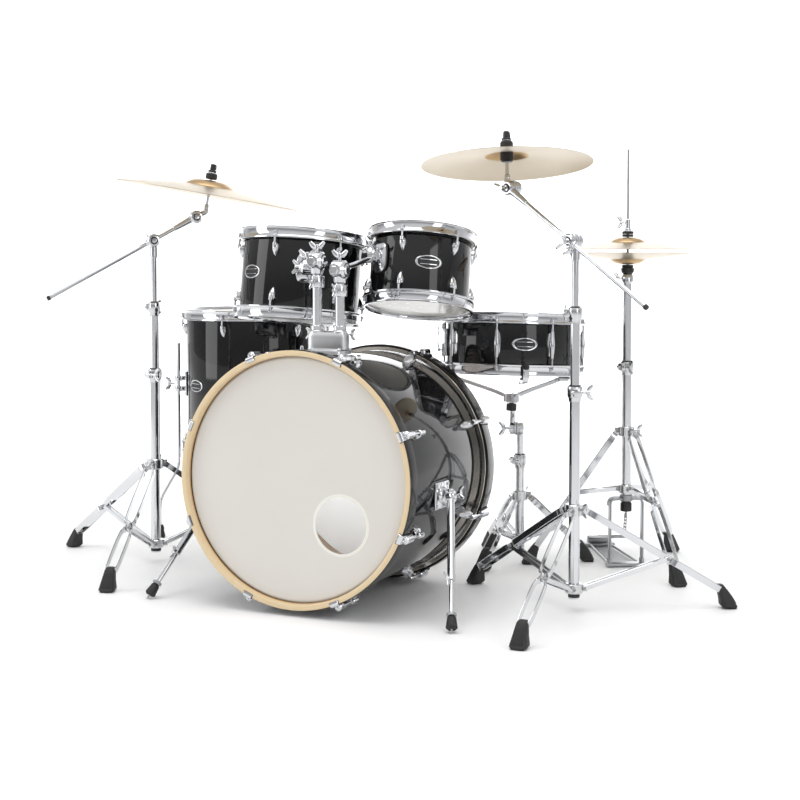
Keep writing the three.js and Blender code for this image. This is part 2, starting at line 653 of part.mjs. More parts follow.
// ---- The kit ----
const kit = new THREE.Group();
const largeTom = drum(LARGE_TOM);
const smallTom = drum(SMALL_TOM);
const floorTom = drum(FLOOR_TOM, ring(3, FLOOR_TOM_LEG.first, legClamp));
const snareDrum = drum(SNARE, snareFittings);
kit.add(bassGroup, ...[-1, 1].flatMap(bassSpur), tomHolder());
kit.add(largeTom, ...tomMount(LARGE_TOM, largeTom));
kit.add(smallTom, ...tomMount(SMALL_TOM, smallTom));
kit.add(floorTom, ...ring(3, FLOOR_TOM_LEG.first, floorTomLeg).flat());
kit.add(snareDrum, strainerLever(snareDrum), ...snareStand());
kit.add(...boomStand(RIDE), ...boomStand(CRASH), ...hiHat(), ...kickPedal());

// The origin goes to the middle of the box's lower face.
const box = new THREE.Box3().setFromObject(kit, true);
const middle = box.getCenter(new THREE.Vector3());
kit.position.set(-middle.x, -middle.y, -box.min.z);
const drumKit = new THREE.Group();
drumKit.name = "drum_kit";
drumKit.add(kit);

export default drumKit;
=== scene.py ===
import json
from math import cos, pi, radians, sin, sqrt

import bmesh
import bpy
from mathutils import Matrix, Quaternion, Vector

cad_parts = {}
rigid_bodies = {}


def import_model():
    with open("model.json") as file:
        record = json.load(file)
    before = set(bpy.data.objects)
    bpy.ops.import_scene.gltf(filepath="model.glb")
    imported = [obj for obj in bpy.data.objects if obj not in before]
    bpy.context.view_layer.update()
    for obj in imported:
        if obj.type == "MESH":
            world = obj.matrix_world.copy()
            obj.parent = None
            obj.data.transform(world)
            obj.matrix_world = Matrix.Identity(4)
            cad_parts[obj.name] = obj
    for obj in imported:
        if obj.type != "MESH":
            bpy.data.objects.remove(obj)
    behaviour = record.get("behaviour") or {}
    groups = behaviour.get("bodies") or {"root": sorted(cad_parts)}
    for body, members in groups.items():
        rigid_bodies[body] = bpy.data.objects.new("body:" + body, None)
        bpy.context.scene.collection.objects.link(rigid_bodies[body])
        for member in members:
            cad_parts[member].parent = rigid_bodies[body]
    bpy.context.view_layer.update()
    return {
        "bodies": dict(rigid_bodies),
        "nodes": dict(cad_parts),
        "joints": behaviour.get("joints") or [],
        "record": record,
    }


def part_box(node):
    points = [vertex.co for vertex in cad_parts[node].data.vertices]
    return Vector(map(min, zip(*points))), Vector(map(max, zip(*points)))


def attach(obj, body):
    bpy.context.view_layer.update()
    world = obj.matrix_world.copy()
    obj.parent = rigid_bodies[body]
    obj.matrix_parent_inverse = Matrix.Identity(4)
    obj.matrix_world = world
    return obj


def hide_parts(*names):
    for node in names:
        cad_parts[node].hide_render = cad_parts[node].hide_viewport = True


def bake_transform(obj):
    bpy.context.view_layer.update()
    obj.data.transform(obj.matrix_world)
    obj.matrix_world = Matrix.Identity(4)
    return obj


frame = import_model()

# Lengths below are in millimetres from a point on the floor under the front hoop of the
# bass drum. The ride stand's tube says where that point is in the frame.
INCH = 25.4
UP = Vector((0, 0, 1))
OVER = Matrix.Rotation(pi, 4, "X")
_low, _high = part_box("ride_middle_tube")
TO_FRAME = (Matrix.Translation(Vector(((_low[0] + _high[0]) / 2 + 0.612,
                                       (_low[1] + _high[1]) / 2 - 0.364, 0)))
            @ Matrix.Scale(0.001, 4))


# ---- Node graphs ----
class Value:
    """One socket, so that node maths reads as a sum."""

    def __init__(self, graph, socket):
        self.graph, self.socket = graph, socket

    def _maths(self, operation, other=0.0):
        return self.graph.node("ShaderNodeMath", {"operation": operation}, {0: self, 1: other})

    def __add__(self, other):
        return self._maths("ADD", other)

    def __mul__(self, other):
        return self._maths("MULTIPLY", other)

    def __truediv__(self, other):
        return self._maths("DIVIDE", other)

    def sine(self):
        return self._maths("SINE")


class Graph:
    """A node tree whose nodes are made by one method."""

    def __init__(self, tree):
        self.tree = tree

    def node(self, kind, settings=None, sockets=None, out=0):
        node = self.tree.nodes.new(kind)
        for key, value in (settings or {}).items():
            if key == "stops":
                ramp = node.color_ramp
                while len(ramp.elements) < len(value):
                    ramp.elements.new(0.5)
                for element, (place, colour) in zip(ramp.elements, value):
                    element.position = place
                    element.color = (*colour, 1)
            else:
                setattr(node, key, value)
        for key, value in (sockets or {}).items():
            if isinstance(value, Value):
                self.tree.links.new(value.socket, node.inputs[key])
            else:
                node.inputs[key].default_value = value
        return Value(self, node.outputs[out])

    def xyz(self, x=0.0, y=0.0, z=0.0):
        return self.node("ShaderNodeCombineXYZ", None, {0: x, 1: y, 2: z})


class Finish(Graph):
    """A material under construction, with its shader and the patterns that the others share."""

    def __init__(self, name, slot, **sockets):
        self.material = bpy.data.materials.new(name)
        self.material.use_nodes = True
        self.slot = slot
        super().__init__(self.material.node_tree)
        self.shader = self.tree.nodes["Principled BSDF"]
        for key, value in sockets.items():
            self.shader.inputs[key.replace("_", " ")].default_value = value
        self.place = self.node("ShaderNodeTexCoord", out=3)

    def feed(self, socket, value):
        self.tree.links.new(value.socket, self.shader.inputs[socket])

    def stretched(self, x, y, z):
        return self.node("ShaderNodeMapping", None, {"Vector": self.place, "Scale": (x, y, z)})

    def noise(self, scale, detail=3.0, vector=None, roughness=0.5):
        return self.node("ShaderNodeTexNoise", None, {
            "Vector": vector or self.place, "Scale": scale, "Detail": detail, "Roughness": roughness})

    def uv(self, axis):
        wrap = self.node("ShaderNodeUVMap", {"uv_map": "wrap"})
        return self.node("ShaderNodeSeparateXYZ", None, {0: wrap}, out=axis)

    def blend(self, factor, first, second):
        return self.node("ShaderNodeMix", {"data_type": "RGBA"},
                         {0: factor, 6: first if isinstance(first, Value) else (*first, 1),
                          7: second if isinstance(second, Value) else (*second, 1)}, out=2)

    def between(self, value, low, high):
        return self.node("ShaderNodeMapRange", None, {0: value, 3: low, 4: high})

    def bump(self, height, strength, distance):
        self.feed("Normal", self.node("ShaderNodeBump", None, {
            "Height": height, "Strength": strength, "Distance": distance}))


# ---- Finishes ----
def plain(name, slot, tones, tone, rough, grain, bump, relief=None, **sockets):
    """An uneven tone between two colours, an uneven gloss and a fine relief. Each of tone,
    grain and relief is a noise's scale and detail. Without a relief, the grain stands for it."""
    f = Finish(name, slot, **sockets)
    grains = f.noise(*grain)
    f.feed("Base Color", f.blend(f.noise(*tone), *tones))
    f.feed("Roughness", f.between(grains, *rough))
    f.bump(f.noise(*relief) if relief else grains, *bump)
    return f


def chrome(name="chrome", tint=(0.70, 0.71, 0.73), rough=(0.05, 0.12), uneven=0.04):
    dull = tuple(c * 0.93 for c in tint)
    return plain(name, "chrome", (dull, tint), (55, 4), rough, (130, 3), (uneven, 0.0006), (60, 2),
                 Metallic=1.0)


def brushed_steel():
    f = Finish("brushed_steel", "steel", Metallic=0.95)
    strokes = f.noise(7, 5, f.stretched(1, 1, 60))
    f.feed("Base Color", f.blend(strokes, (0.30, 0.31, 0.32), (0.46, 0.47, 0.48)))
    f.feed("Roughness", f.between(strokes, 0.26, 0.42))
    f.bump(strokes, 0.12, 0.0004)
    return f


def wood(name, slot, pale, dark, coat, along=26.0):
    """Wood bent into a ring: its grain runs round the drum, on the ring's own map."""
    f = Finish(name, slot, Coat_Weight=coat, Coat_Roughness=0.12)
    turn, across = f.uv(0), f.uv(1)
    grain = f.noise(1.0, 5, f.xyz(turn * along, across * 900.0), 0.6)
    flecks = f.noise(3.0, 2, f.xyz(turn * (along * 7), across * 2200.0, 0.3))
    ply = (across * 2900.0).sine() * 0.5 + 0.5
    tone = grain * 0.62 + flecks * 0.2 + ply * 0.18
    f.feed("Base Color", f.node("ShaderNodeValToRGB", {"stops": [(0.28, dark), (0.66, pale)]}, {0: tone}))
    f.feed("Roughness", f.between(grain, 0.3, 0.45))
    f.bump(tone, 0.15, 0.0006)
    return f


def coated_film():
    f = Finish("coated_film", "coated_head")
    cloud = f.noise(5, 4)
    speckle = f.noise(900, 3, None, 0.7)
    base = f.blend(cloud, (0.68, 0.655, 0.61), (0.74, 0.72, 0.68))
    f.feed("Base Color", f.blend(f.between(speckle, 0.0, 0.22), base, (0.60, 0.58, 0.54)))
    f.feed("Roughness", f.between(speckle, 0.5, 0.68))
    f.bump(speckle, 0.22, 0.0004)
    return f


def clear_film():
    """A clear head: mostly see-through, with a faint haze and a gloss."""
    f = Finish("clear_film", "clear_head")
    cloud = f.noise(6, 3)
    f.feed("Base Color", f.blend(cloud, (0.84, 0.84, 0.83), (0.92, 0.92, 0.91)))
    f.feed("Alpha", f.between(cloud, 0.2, 0.3))
    f.feed("Roughness", f.between(f.noise(50, 2), 0.08, 0.16))
    return f


def cymbal_bronze(name, pale, deep):
    """Lathe rings across the radius, soft hammer marks, and a slightly uneven tone."""
    f = Finish(name, "bronze", Metallic=1.0)
    radius = f.uv(1)
    lathe = (radius * 2600.0 + f.noise(18, 2) * 5.0).sine() * 0.5 + 0.5
    fine = f.noise(1.0, 3, f.xyz(radius * 3800.0))
    dents = f.node("ShaderNodeTexVoronoi", {"feature": "SMOOTH_F1"}, {"Vector": f.place, "Scale": 42.0})
    tone = f.noise(6, 4) * 0.5 + fine * 0.35 + lathe * 0.15
    f.feed("Base Color", f.blend(tone, deep, pale))
    f.feed("Roughness", f.between(fine, 0.26, 0.42))
    f.bump(lathe * 0.25 + fine * 0.25 + dents * 0.9, 0.16, 0.0011)
    return f


WRAP = plain("black_wrap", "black_wrap", ((0.0035, 0.0035, 0.004), (0.0075, 0.0075, 0.0085)), (9, 4),
             (0.035, 0.075), (160, 2), (0.05, 0.004), (14, 1), IOR=1.47, Coat_Weight=0.15, Coat_Roughness=0.03)
CHROME = chrome()
CASTING = chrome("satin_casting", (0.66, 0.67, 0.68), (0.10, 0.2))
SATIN_SILVER = chrome("satin_silver", (0.74, 0.75, 0.76), (0.26, 0.36), 0.02)
SILVER_BAND = chrome("silver_band", (0.74, 0.69, 0.62), (0.16, 0.22), 0.01)
STEEL = brushed_steel()
MAPLE = wood("natural_hoop", "natural_hoop", (0.80, 0.65, 0.42), (0.66, 0.49, 0.28), 0.4)
# Painted shade: this darker, browner wood colour goes on the thin ring where the front bass hoop meets the head.
# It stands in for the shadow and the shading of the rounded edge in that corner, not for a different wood.
HOOP_EDGE_SHADE = wood("hoop_inner_line", "natural_hoop", (0.58, 0.33, 0.13), (0.42, 0.21, 0.08), 0.3)
BARE_WOOD = wood("bare_shell_wood", "bare_wood", (0.74, 0.53, 0.31), (0.60, 0.40, 0.21), 0.0, 9.0)
LACQUER = plain("black_lacquer", "black_hoop", ((0.006, 0.006, 0.006), (0.013, 0.012, 0.012)), (22, 4),
                (0.10, 0.2), (90, 3), (0.06, 0.0005), (220, 2))
COATED = coated_film()
CLEAR = clear_film()
MILKY = plain("milky_film", "clear_head", ((0.80, 0.78, 0.71), (0.88, 0.86, 0.80)), (7, 3),
              (0.18, 0.32), (60, 3), (0.08, 0.0008), (26, 2), Coat_Weight=0.4)
BRONZE = cymbal_bronze("cymbal_bronze", (0.55, 0.475, 0.365), (0.41, 0.345, 0.25))
BELL = cymbal_bronze("bell_bronze", (0.60, 0.43, 0.24), (0.45, 0.30, 0.15))
RUBBER = plain("rubber", "rubber", ((0.010, 0.010, 0.010), (0.026, 0.026, 0.025)), (20, 3),
               (0.5, 0.72), (520, 3), (0.2, 0.0004))
FIBRES = (620, 5, None, 0.75)
FELT = plain("felt", "felt", ((0.008, 0.008, 0.008), (0.035, 0.034, 0.033)), FIBRES,
             (0.85, 1.0), FIBRES, (0.6, 0.0012), Sheen_Weight=0.3)
PLASTIC = plain("black_plastic", "black_plastic", ((0.008, 0.008, 0.009), (0.018, 0.018, 0.019)), (15, 2),
                (0.26, 0.4), (380, 2), (0.1, 0.0003))


# ---- Places ----
def shift(x, y=0, z=0):
    return Matrix.Translation((x, y, z))


def yaw(degrees):
    return Matrix.Rotation(radians(degrees), 4, "Z")


def onto(start, way):
    """Puts the origin at start and +Z along way."""
    return Matrix.Translation(start) @ UP.rotation_difference(Vector(way)).to_matrix().to_4x4()


# ---- Shapes ----
class Shape:
    """A mesh being built, in millimetres, from turned, swept and boxed solids."""

    def __init__(self):
        self.mesh = bmesh.new()
        self.map = self.mesh.loops.layers.uv.new("wrap")

    def skin(self, rows, around=True, caps=True):
        """Skins rows of points; a row of one point is a pole. The map holds turn and length."""
        bm = self.mesh
        made = [[bm.verts.new(p) for p in row] for row in rows]
        length, runs = 0.0, [0.0]
        for a, b in zip(rows, rows[1:]):
            length += (Vector(b[0]) - Vector(a[0])).length * 0.001
            runs.append(length)
        faces = []
        for i, (a, b) in enumerate(zip(made, made[1:])):
            count = max(len(a), len(b))
            for j in range(count if around else count - 1):
                k = (j + 1) % count
                corners = [(a, i, j), (a, i, k), (b, i + 1, k), (b, i + 1, j)]
                seen, ends = [], []
                for row, r, c in corners:
                    vert = row[c % len(row)]
                    if vert not in seen:
                        seen.append(vert)
                        turn = (c if c or corners[0][2] < corners[1][2] else count) / count
                        ends.append((turn, runs[r]))
                if len(seen) > 2:
                    face = bm.faces.new(seen)
                    for loop, uv in zip(face.loops, ends):
                        loop[self.map].uv = uv
                    faces.append(face)
        if caps and around:
            for row in (made[0], made[-1]):
                if len(row) > 2:
                    faces.append(bm.faces.new(row))
        bmesh.ops.recalc_face_normals(bm, faces=faces)
        return self

    def turned(self, profile, sides=64, matrix=Matrix(), ring=False):
        """Turns [radius, height] points about +Z; ring closes the profile on itself."""
        outline = list(profile) + ([profile[0]] if ring else [])
        rows = []
        for r, z in outline:
            count = sides if r > 1e-6 else 1
            rows.append([matrix @ Vector((r * cos(2 * pi * i / count), r * sin(2 * pi * i / count), z))
                         for i in range(count)])
        before = len(self.mesh.verts)
        self.skin(rows, caps=not ring)
        if ring:
            self.mesh.verts.ensure_lookup_table()
            bmesh.ops.remove_doubles(self.mesh, verts=self.mesh.verts[before:], dist=1e-4)
        return self

    def sweep(self, path, section, side=None):
        """Sweeps a section, given as (across, through) points, along a path of points.
        Section may be a function of the part of the path done so far."""
        path = [Vector(p) for p in path]
        rows, across = [], None
        for i, p in enumerate(path):
            ahead = path[min(i + 1, len(path) - 1)]
            behind = path[max(i - 1, 0)]
            along = (ahead - behind).normalized()
            if side is not None:
                across = Vector(side)
            elif across is None:
                across = along.orthogonal()
            across = (across - along * across.dot(along)).normalized()
            through = along.cross(across)
            points = section(i / (len(path) - 1)) if callable(section) else section
            rows.append([p + across * u + through * v for u, v in points])
        return self.skin(rows)

    def rod(self, start, end, radius, sides=20, edge=0.8, radius2=None):
        """A round rod with a small bevel at each end; radius2 tapers it."""
        start, end = Vector(start), Vector(end)
        length = (end - start).length
        r2 = radius if radius2 is None else radius2
        edge = min(edge, radius * 0.5, r2 * 0.5, length * 0.4)
        place = onto(start, end - start)
        return self.turned([(0, 0), (radius - edge, 0), (radius, edge), (r2, length - edge),
                            (r2 - edge, length), (0, length)], sides, place)

    def tube(self, path, radius, sides=16):
        return self.sweep(path, circle(radius, sides))

    def boss(self, centre, axis, radius, thickness, sides=32, edge=1.2):
        half = Vector(axis).normalized() * thickness / 2
        return self.rod(Vector(centre) - half, Vector(centre) + half, radius, sides, edge)

    def block(self, size, matrix=Matrix(), edge=2.0):
        """A box with its edges rounded off."""
        made = bmesh.ops.create_cube(self.mesh, size=1.0)["verts"]
        bmesh.ops.scale(self.mesh, vec=Vector(size), verts=made)
        edges = list({e for v in made for e in v.link_edges})
        before = set(self.mesh.verts) - set(made)
        bmesh.ops.bevel(self.mesh, geom=edges, offset=min(edge, min(size) * 0.45), segments=3,
                        affect="EDGES", profile=0.5)
        now = [v for v in self.mesh.verts if v not in before]
        bmesh.ops.transform(self.mesh, matrix=matrix, verts=now)
        return self

    def wing_bolt(self, at, axis, spread, size=1.0):
        """A threaded stem and two rounded wings."""
        at, axis = Vector(at), Vector(axis).normalized()
        spread = (Vector(spread) - axis * Vector(spread).dot(axis)).normalized()
        self.rod(at, at + axis * 16 * size, 3.2 * size, 12)
        self.rod(at + axis * 9 * size, at + axis * 19 * size, 5.2 * size, 16)
        for sign in (-1, 1):
            path = [at + axis * (13 + 2.5 * t + 9 * t * t) * size + spread * sign * (3 + 13 * t) * size
                    for t in (0, 0.3, 0.55, 0.8, 1)]
            self.sweep(path, lambda t: [(u * (3.4 + 2.2 * sin(pi * min(t * 1.15, 1))) * size,
                                         v * 2.3 * size) for u, v in circle(1, 12)],
                       side=axis.cross(spread).cross(spread))
        return self

    def screws(self, place, start, end, radius, edge, spots):
        """Screw heads that stand out along the place's +X."""
        for y, z in spots:
            self.rod(place @ Vector((start, y, z)), place @ Vector((end, y, z)), radius, 20, edge)

    def turn_into(self, name, finish, matrix=Matrix(), smooth=35, bevel=0.0):
        """Ends the shape as a plain mesh object in the frame's metres."""
        mesh = bpy.data.meshes.new(name)
        self.mesh.to_mesh(mesh)
        self.mesh.free()
        return finished(name, mesh, finish, matrix, smooth, bevel)


def finished(name, mesh, finish, matrix=Matrix(), smooth=35, bevel=0.0):
    mesh.transform(TO_FRAME @ matrix)
    mesh.polygons.foreach_set("use_smooth", [True] * len(mesh.polygons))
    mesh.set_sharp_from_angle(angle=radians(smooth))
    mesh.materials.clear()
    mesh.materials.append(finish.material)
    obj = bpy.data.objects.new(name, mesh)
    bpy.context.scene.collection.objects.link(obj)
    if bevel:
        modifier = obj.modifiers.new("edges", "BEVEL")
        modifier.width = bevel * 0.001
        modifier.segments = 2
        modifier.limit_method = "ANGLE"
        modifier.angle_limit = radians(40)
    obj["finish_slot"] = finish.slot
    return obj


def settle(obj, body, *nodes):
    """The piece moves with a body and, where nodes are named, stands for them."""
    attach(obj, body)
    if nodes:
        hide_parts(*nodes)


def settle_each(prefix, body, node, place, *pieces):
    """Ends shapes that ride on one body and stand for one node."""
    for label, shape, finish in pieces:
        settle(shape.turn_into(f"{prefix}_{label}", finish, place), body, node)


def circle(radius, sides):
    return [(radius * cos(2 * pi * i / sides), radius * sin(2 * pi * i / sides)) for i in range(sides)]


def flat(width, thickness, corner=1.0):
    """A flat bar's section with broken corners."""
    w, t, c = width / 2, thickness / 2, min(corner, thickness * 0.4)
    corner = [(w - c, -t), (w, -t + c), (w, t - c), (w - c, t)]
    return corner + [(-u, -v) for u, v in corner]


def blunt_oval(count, across, through, bend=0.5, bend_through=0.5, first=0.5):
    """An oval with full corners, the fuller the smaller its two bends are."""
    def blunt(value, power):
        return abs(value) ** power * (1 if value > 0 else -1)
    turns = [2 * pi * (i + first) / count for i in range(count)]
    return [(across * blunt(cos(a), bend), through * blunt(sin(a), bend_through)) for a in turns]


def beside(radius, height, points):
    """A profile given from a corner of the piece that it belongs to."""
    return [(radius + r, height + z) for r, z in points]


def polar(radius, degrees, z=0.0):
    return Vector((radius * cos(radians(degrees)), radius * sin(radians(degrees)), z))


def round_ring(count, first=0.0):
    return [first + 360 * i / count for i in range(count)]


def curve(points, steps=8):
    """A smooth path through the points."""
    pts = [Vector(p) for p in points]
    pts = [pts[0] * 2 - pts[1]] + pts + [pts[-1] * 2 - pts[-2]]
    path = []
    for a, b, c, d in zip(pts, pts[1:], pts[2:], pts[3:]):
        for i in range(steps):
            t = i / steps
            path.append(0.5 * (2 * b + (c - a) * t + (2 * a - 5 * b + 4 * c - d) * t * t
                               + (3 * b - a - 3 * c + d) * t ** 3))
    return path + [pts[-2]]


# ---- What repeats: Geometry Nodes ----
def new_tree(name, inputs):
    tree = bpy.data.node_groups.new(name, "GeometryNodeTree")
    tree.interface.new_socket("Geometry", in_out="OUTPUT", socket_type="NodeSocketGeometry")
    for label, kind in inputs:
        tree.interface.new_socket(label, in_out="INPUT", socket_type=f"NodeSocket{kind}")
    graph = Graph(tree)
    source = tree.nodes.new("NodeGroupInput")
    given = {label: Value(graph, source.outputs[label]) for label, _ in inputs}
    return graph, given


def end_tree(graph, given, place, euler):
    """Puts a copy of the piece on each point, and gives the copies their material."""
    points = graph.node("GeometryNodePoints", None, {"Count": given["Count"], "Position": place})
    turn = graph.node("FunctionNodeEulerToRotation", None, {0: euler})
    piece = graph.node("GeometryNodeObjectInfo", {"transform_space": "ORIGINAL"},
                       {"Object": given["Piece"]}, out=4)
    copies = graph.node("GeometryNodeInstanceOnPoints", None, {
        "Points": points, "Instance": piece, "Rotation": turn})
    real = graph.node("GeometryNodeRealizeInstances", None, {0: copies})
    coloured = graph.node("GeometryNodeSetMaterial", None, {"Geometry": real, "Material": given["Material"]})
    out = graph.tree.nodes.new("NodeGroupOutput")
    graph.tree.links.new(coloured.socket, out.inputs[0])
    return graph.tree


def ring_tree():
    """Copies of one piece round +Z, each turned to face outwards."""
    g, given = new_tree("pieces_round_a_drum", [
        ("Piece", "Object"), ("Count", "Int"), ("First angle", "Float"), ("Material", "Material")])
    index = g.node("GeometryNodeInputIndex")
    angle = given["First angle"] + index * (2 * pi) / given["Count"]
    return end_tree(g, given, (0, 0, 0), g.xyz(z=angle))


def chain_tree():
    """Copies of one piece along a straight run, all turned the same way."""
    g, given = new_tree("links_along_a_run", [
        ("Piece", "Object"), ("Count", "Int"), ("Start", "Vector"), ("Step", "Vector"),
        ("Tilt", "Vector"), ("Material", "Material")])
    index = g.node("GeometryNodeInputIndex")
    place = g.node("ShaderNodeVectorMath", {"operation": "MULTIPLY_ADD"}, {
        0: given["Step"], 1: g.xyz(index, index, index),
        2: given["Start"]})
    return end_tree(g, given, place, given["Tilt"])


RING, CHAIN = ring_tree(), chain_tree()


def grown(tree, shape, **inputs):
    """Runs a tree on one template shape and gives back the plain mesh."""
    template_mesh = bpy.data.meshes.new("template")
    shape.mesh.to_mesh(template_mesh)
    shape.mesh.free()
    template = bpy.data.objects.new("template", template_mesh)
    host = bpy.data.objects.new("host", bpy.data.meshes.new("host"))
    for obj in (template, host):
        bpy.context.scene.collection.objects.link(obj)
    modifier = host.modifiers.new("repeat", "NODES")
    modifier.node_group = tree
    inputs = {"Piece": template, **{key.replace("_", " "): value for key, value in inputs.items()}}
    for item in tree.interface.items_tree:
        if item.in_out == "INPUT" and item.name in inputs:
            modifier[item.identifier] = inputs[item.name]
    graph = bpy.context.evaluated_depsgraph_get()
    mesh = bpy.data.meshes.new_from_object(host.evaluated_get(graph))
    for obj in (host, template):
        bpy.data.objects.remove(obj)
    return mesh


def ringed(name, shape, count, finish, matrix):
    """A template modelled on +X, repeated round a drum's axis from half a step off +X."""
    mesh = grown(RING, shape, Count=count, First_angle=pi / count, Material=finish.material)
    return finished(name, mesh, finish, matrix)


# ---- Drums ----
INSET, WALL, HOOP_OUT, ROD_OUT, ARM_HEIGHT = 1.5, 7.0, 13.5, 10.8, 12
DRUM_SIDES, BASS_SIDES = 128, 160


class Drum:
    """A drum's sizes and the matrix of its own frame: its axis is +Z, its badge side +X."""

    def __init__(self, name, body, inches, depth, at, lean, facing, lugs, badge=0.0):
        self.name, self.body, self.lugs, self.badge = name, body, lugs, badge
        self.radius, self.half = inches * INCH / 2 - INSET, depth * INCH / 2
        self.place = onto(Vector(at), lean) @ yaw(facing)

    def ends(self):
        return [("batter", self.place), ("resonant", self.place @ OVER)]


def leaf_lug(radius, z0, z1, width, height):
    """A teardrop casting: its round end holds the rod's thread, its point lies down the shell."""
    shape, steps = Shape(), 18
    rows = []
    for i in range(steps + 1):
        t = i / steps
        z = z0 + (z1 - z0) * t
        swell = max(sqrt(max(1 - (2 * t - 1.12) ** 2 / 1.26, 0)), 0.10) * (0.55 + 0.45 * t)
        wide = width / 2 * min(1.0, swell * 1.12) if 0 < i < steps else width / 2 * 0.18
        tall = height * min(1.0, swell * 1.08) if 0 < i < steps else height * 0.12
        row = []
        for j in range(15):
            a = pi * j / 14
            row.append(Vector((radius - 1.0 + tall * sin(a) ** 0.7, wide * cos(a), z)))
        foot = [Vector((radius - 2.5, wide * cos(pi - 0.001), z)), Vector((radius - 2.5, wide, z))]
        rows.append(row + foot)
    shape.skin(rows)
    x = radius + ROD_OUT
    return shape.rod((x, 0, z1 - (z1 - z0) * 0.28), (x, 0, z1 + 1.5), 5.4, 20, 1.2)


def spindle_lug(radius, half):
    """A long leaf, widest at the middle, with a rod's socket at both ends."""
    shape = Shape()
    upper = [(7.4, 0), (6.4, half - 24), (5.2, half - 12), (4.6, half - 1.5), (3.0, half), (0, half)]
    lower = [(r, -z) for r, z in reversed(upper[1:])]
    shape.turned(lower + upper, 24, shift(radius + 9.6))
    rows = []
    for i in range(17):
        z = -0.82 + 1.64 * i / 16
        wide, tall = 9.0 * sqrt(1 - z * z) + 0.6, 11.0 * sqrt(1 - z * z) + 0.5
        turns = [pi * j / 12 for j in range(13)]
        rows.append([Vector((radius - 1.5 + tall * max(sin(a), 0.0), wide * cos(a), z * half)) for a in turns])
    return shape.skin(rows)


def tension_rod(radius, low, head):
    """A thin rod with a washer and a square key head above the hoop's ear."""
    x = radius + ROD_OUT
    shape = Shape().rod((x, 0, low), (x, 0, head), 2.7, 14)
    shape.rod((x, 0, head - 1.5), (x, 0, head + 0.6), 6.3, 20)
    shape.rod((x, 0, head + 0.6), (x, 0, head + 3.8), 5.0, 18)
    return shape.block((6.2, 6.2, 8.5), shift(x, 0, head + 7.2), 0.9)


def oval_badge(width, height, radius, angle, z=0.0):
    """A blank oval plate bent to the shell, with a raised rim and a bar across it."""
    plate, inlay = Shape(), Shape()

    def bent(u, v, out):
        a = angle + u / radius * 180 / pi
        return polar(radius + out, a, z + v)

    def oval(part, out):
        return [bent(width / 2 * part * cos(2 * pi * i / 48), height / 2 * part * sin(2 * pi * i / 48), out)
                for i in range(48)]
    rim = [oval(part, out) for part, out in ((1, -1), (1, 1.0), (0.96, 1.6), (0.88, 1.6), (0.84, 1.1))]
    plate.skin(rim + [[bent(0, 0, 1.1)]])
    inlay.skin([oval(0.83, 1.15), oval(0.82, 1.35), [bent(0, 0, 1.35)]])
    for v in (-height * 0.17, height * 0.17):
        rows = []
        for i in range(13):
            u = width * (i / 12 - 0.5) * 0.62
            rows.append([bent(u, v + w, out) for w, out in ((-0.8, 1.3), (-0.8, 1.8), (0.8, 1.8), (0.8, 1.3))])
        plate.skin(rows)
    for sign in (-1, 1):
        spot = bent(sign * width * 0.42, 0, 1.0)
        plate.rod(spot, spot + polar(1.6, angle), 1.6, 12, 0.5)
    return plate, inlay


def metal_hoop(radius, half):
    """A triple-flanged pressed hoop: rolled lip, wall, shoulder and the ear flange below."""
    return beside(radius + 5.2, half, [
        (0, 1), (0, 9.5), (1, 11), (5.5, 11.2), (7.2, 10.3), (7.4, 8.6), (6, 8), (3, 8.2), (2.3, 6.5),
        (2.3, -10), (3.6, -12), (7.6, -12.8), (8.3, -13.8), (8.3, -17.4), (7.4, -18), (6.2, -17.2),
        (5.8, -15.2), (2.4, -14.4), (0.4, -12), (0, -10)])


def drum_shell(r, h, wall, chamfer):
    return [(r - wall, -h + chamfer), (r - 3, -h), (r - 0.8, -h + 1), (r, -h + 4),
            (r, h - 4), (r - 0.8, h - 1), (r - 3, h), (r - wall, h - chamfer)]


def drum_film(radius, edge, collar=14):
    return [(0, edge + 1.5), *beside(radius, edge, [
        (-9, 1.5), (-5, 1.4), (-2, 0.5), (0.8, -1.5), (1.2, 3 - collar), (4.5, 3 - collar), (4.5, -collar),
        (0.6, -collar), (0.4, -2.2), (-6, 0.7)]), (0, edge + 0.7)]


def metal_drum(drum):
    name, body, place, r, h = drum.name, drum.body, drum.place, drum.radius, drum.half
    settle_each(name, body, f"{name}_shell", place,
                ("wrap", Shape().turned(drum_shell(r, h, WALL, 5), DRUM_SIDES, ring=True), WRAP))
    snare = name == "snare"
    flesh = beside(r, h, [(1.4, -12), (4.6, -12), (4.6, 1.2), (3, 2.2), (1.4, 1.0)])
    for end, matrix in drum.ends():
        film = Shape().turned(drum_film(r, h + 0.4), DRUM_SIDES)
        settle_each(f"{name}_{end}", body, f"{name}_{end}_head", matrix,
                    ("film", film, COATED if end == "batter" else MILKY),
                    ("flesh_hoop", Shape().turned(flesh, DRUM_SIDES, ring=True), CASTING))
        settle_each(f"{name}_{end}", body, f"{name}_{end}_hoop", matrix,
                    ("flanged_hoop", Shape().turned(metal_hoop(r, h), DRUM_SIDES, ring=True), CHROME))
        low = 39 if snare else h - 31
        rods = ringed(f"{name}_{end}_rods", tension_rod(r, low - 4, h - 12.2), drum.lugs, CHROME, matrix)
        settle(rods, body, f"{name}_{end}_hoop")
        if not snare:
            lugs = ringed(f"{name}_{end}_lugs", leaf_lug(r, low - 32, low, 20, 15), drum.lugs, CHROME, matrix)
            settle(lugs, body, f"{name}_shell")
    if snare:
        settle(ringed("snare_spindle_lugs", spindle_lug(r, 36), drum.lugs, CHROME, place), body, "snare_shell")
    plate, inlay = oval_badge(66, 34, r, drum.badge)
    settle_each(name, body, f"{name}_shell", place, ("badge", plate, CHROME), ("badge_field", inlay, PLASTIC))


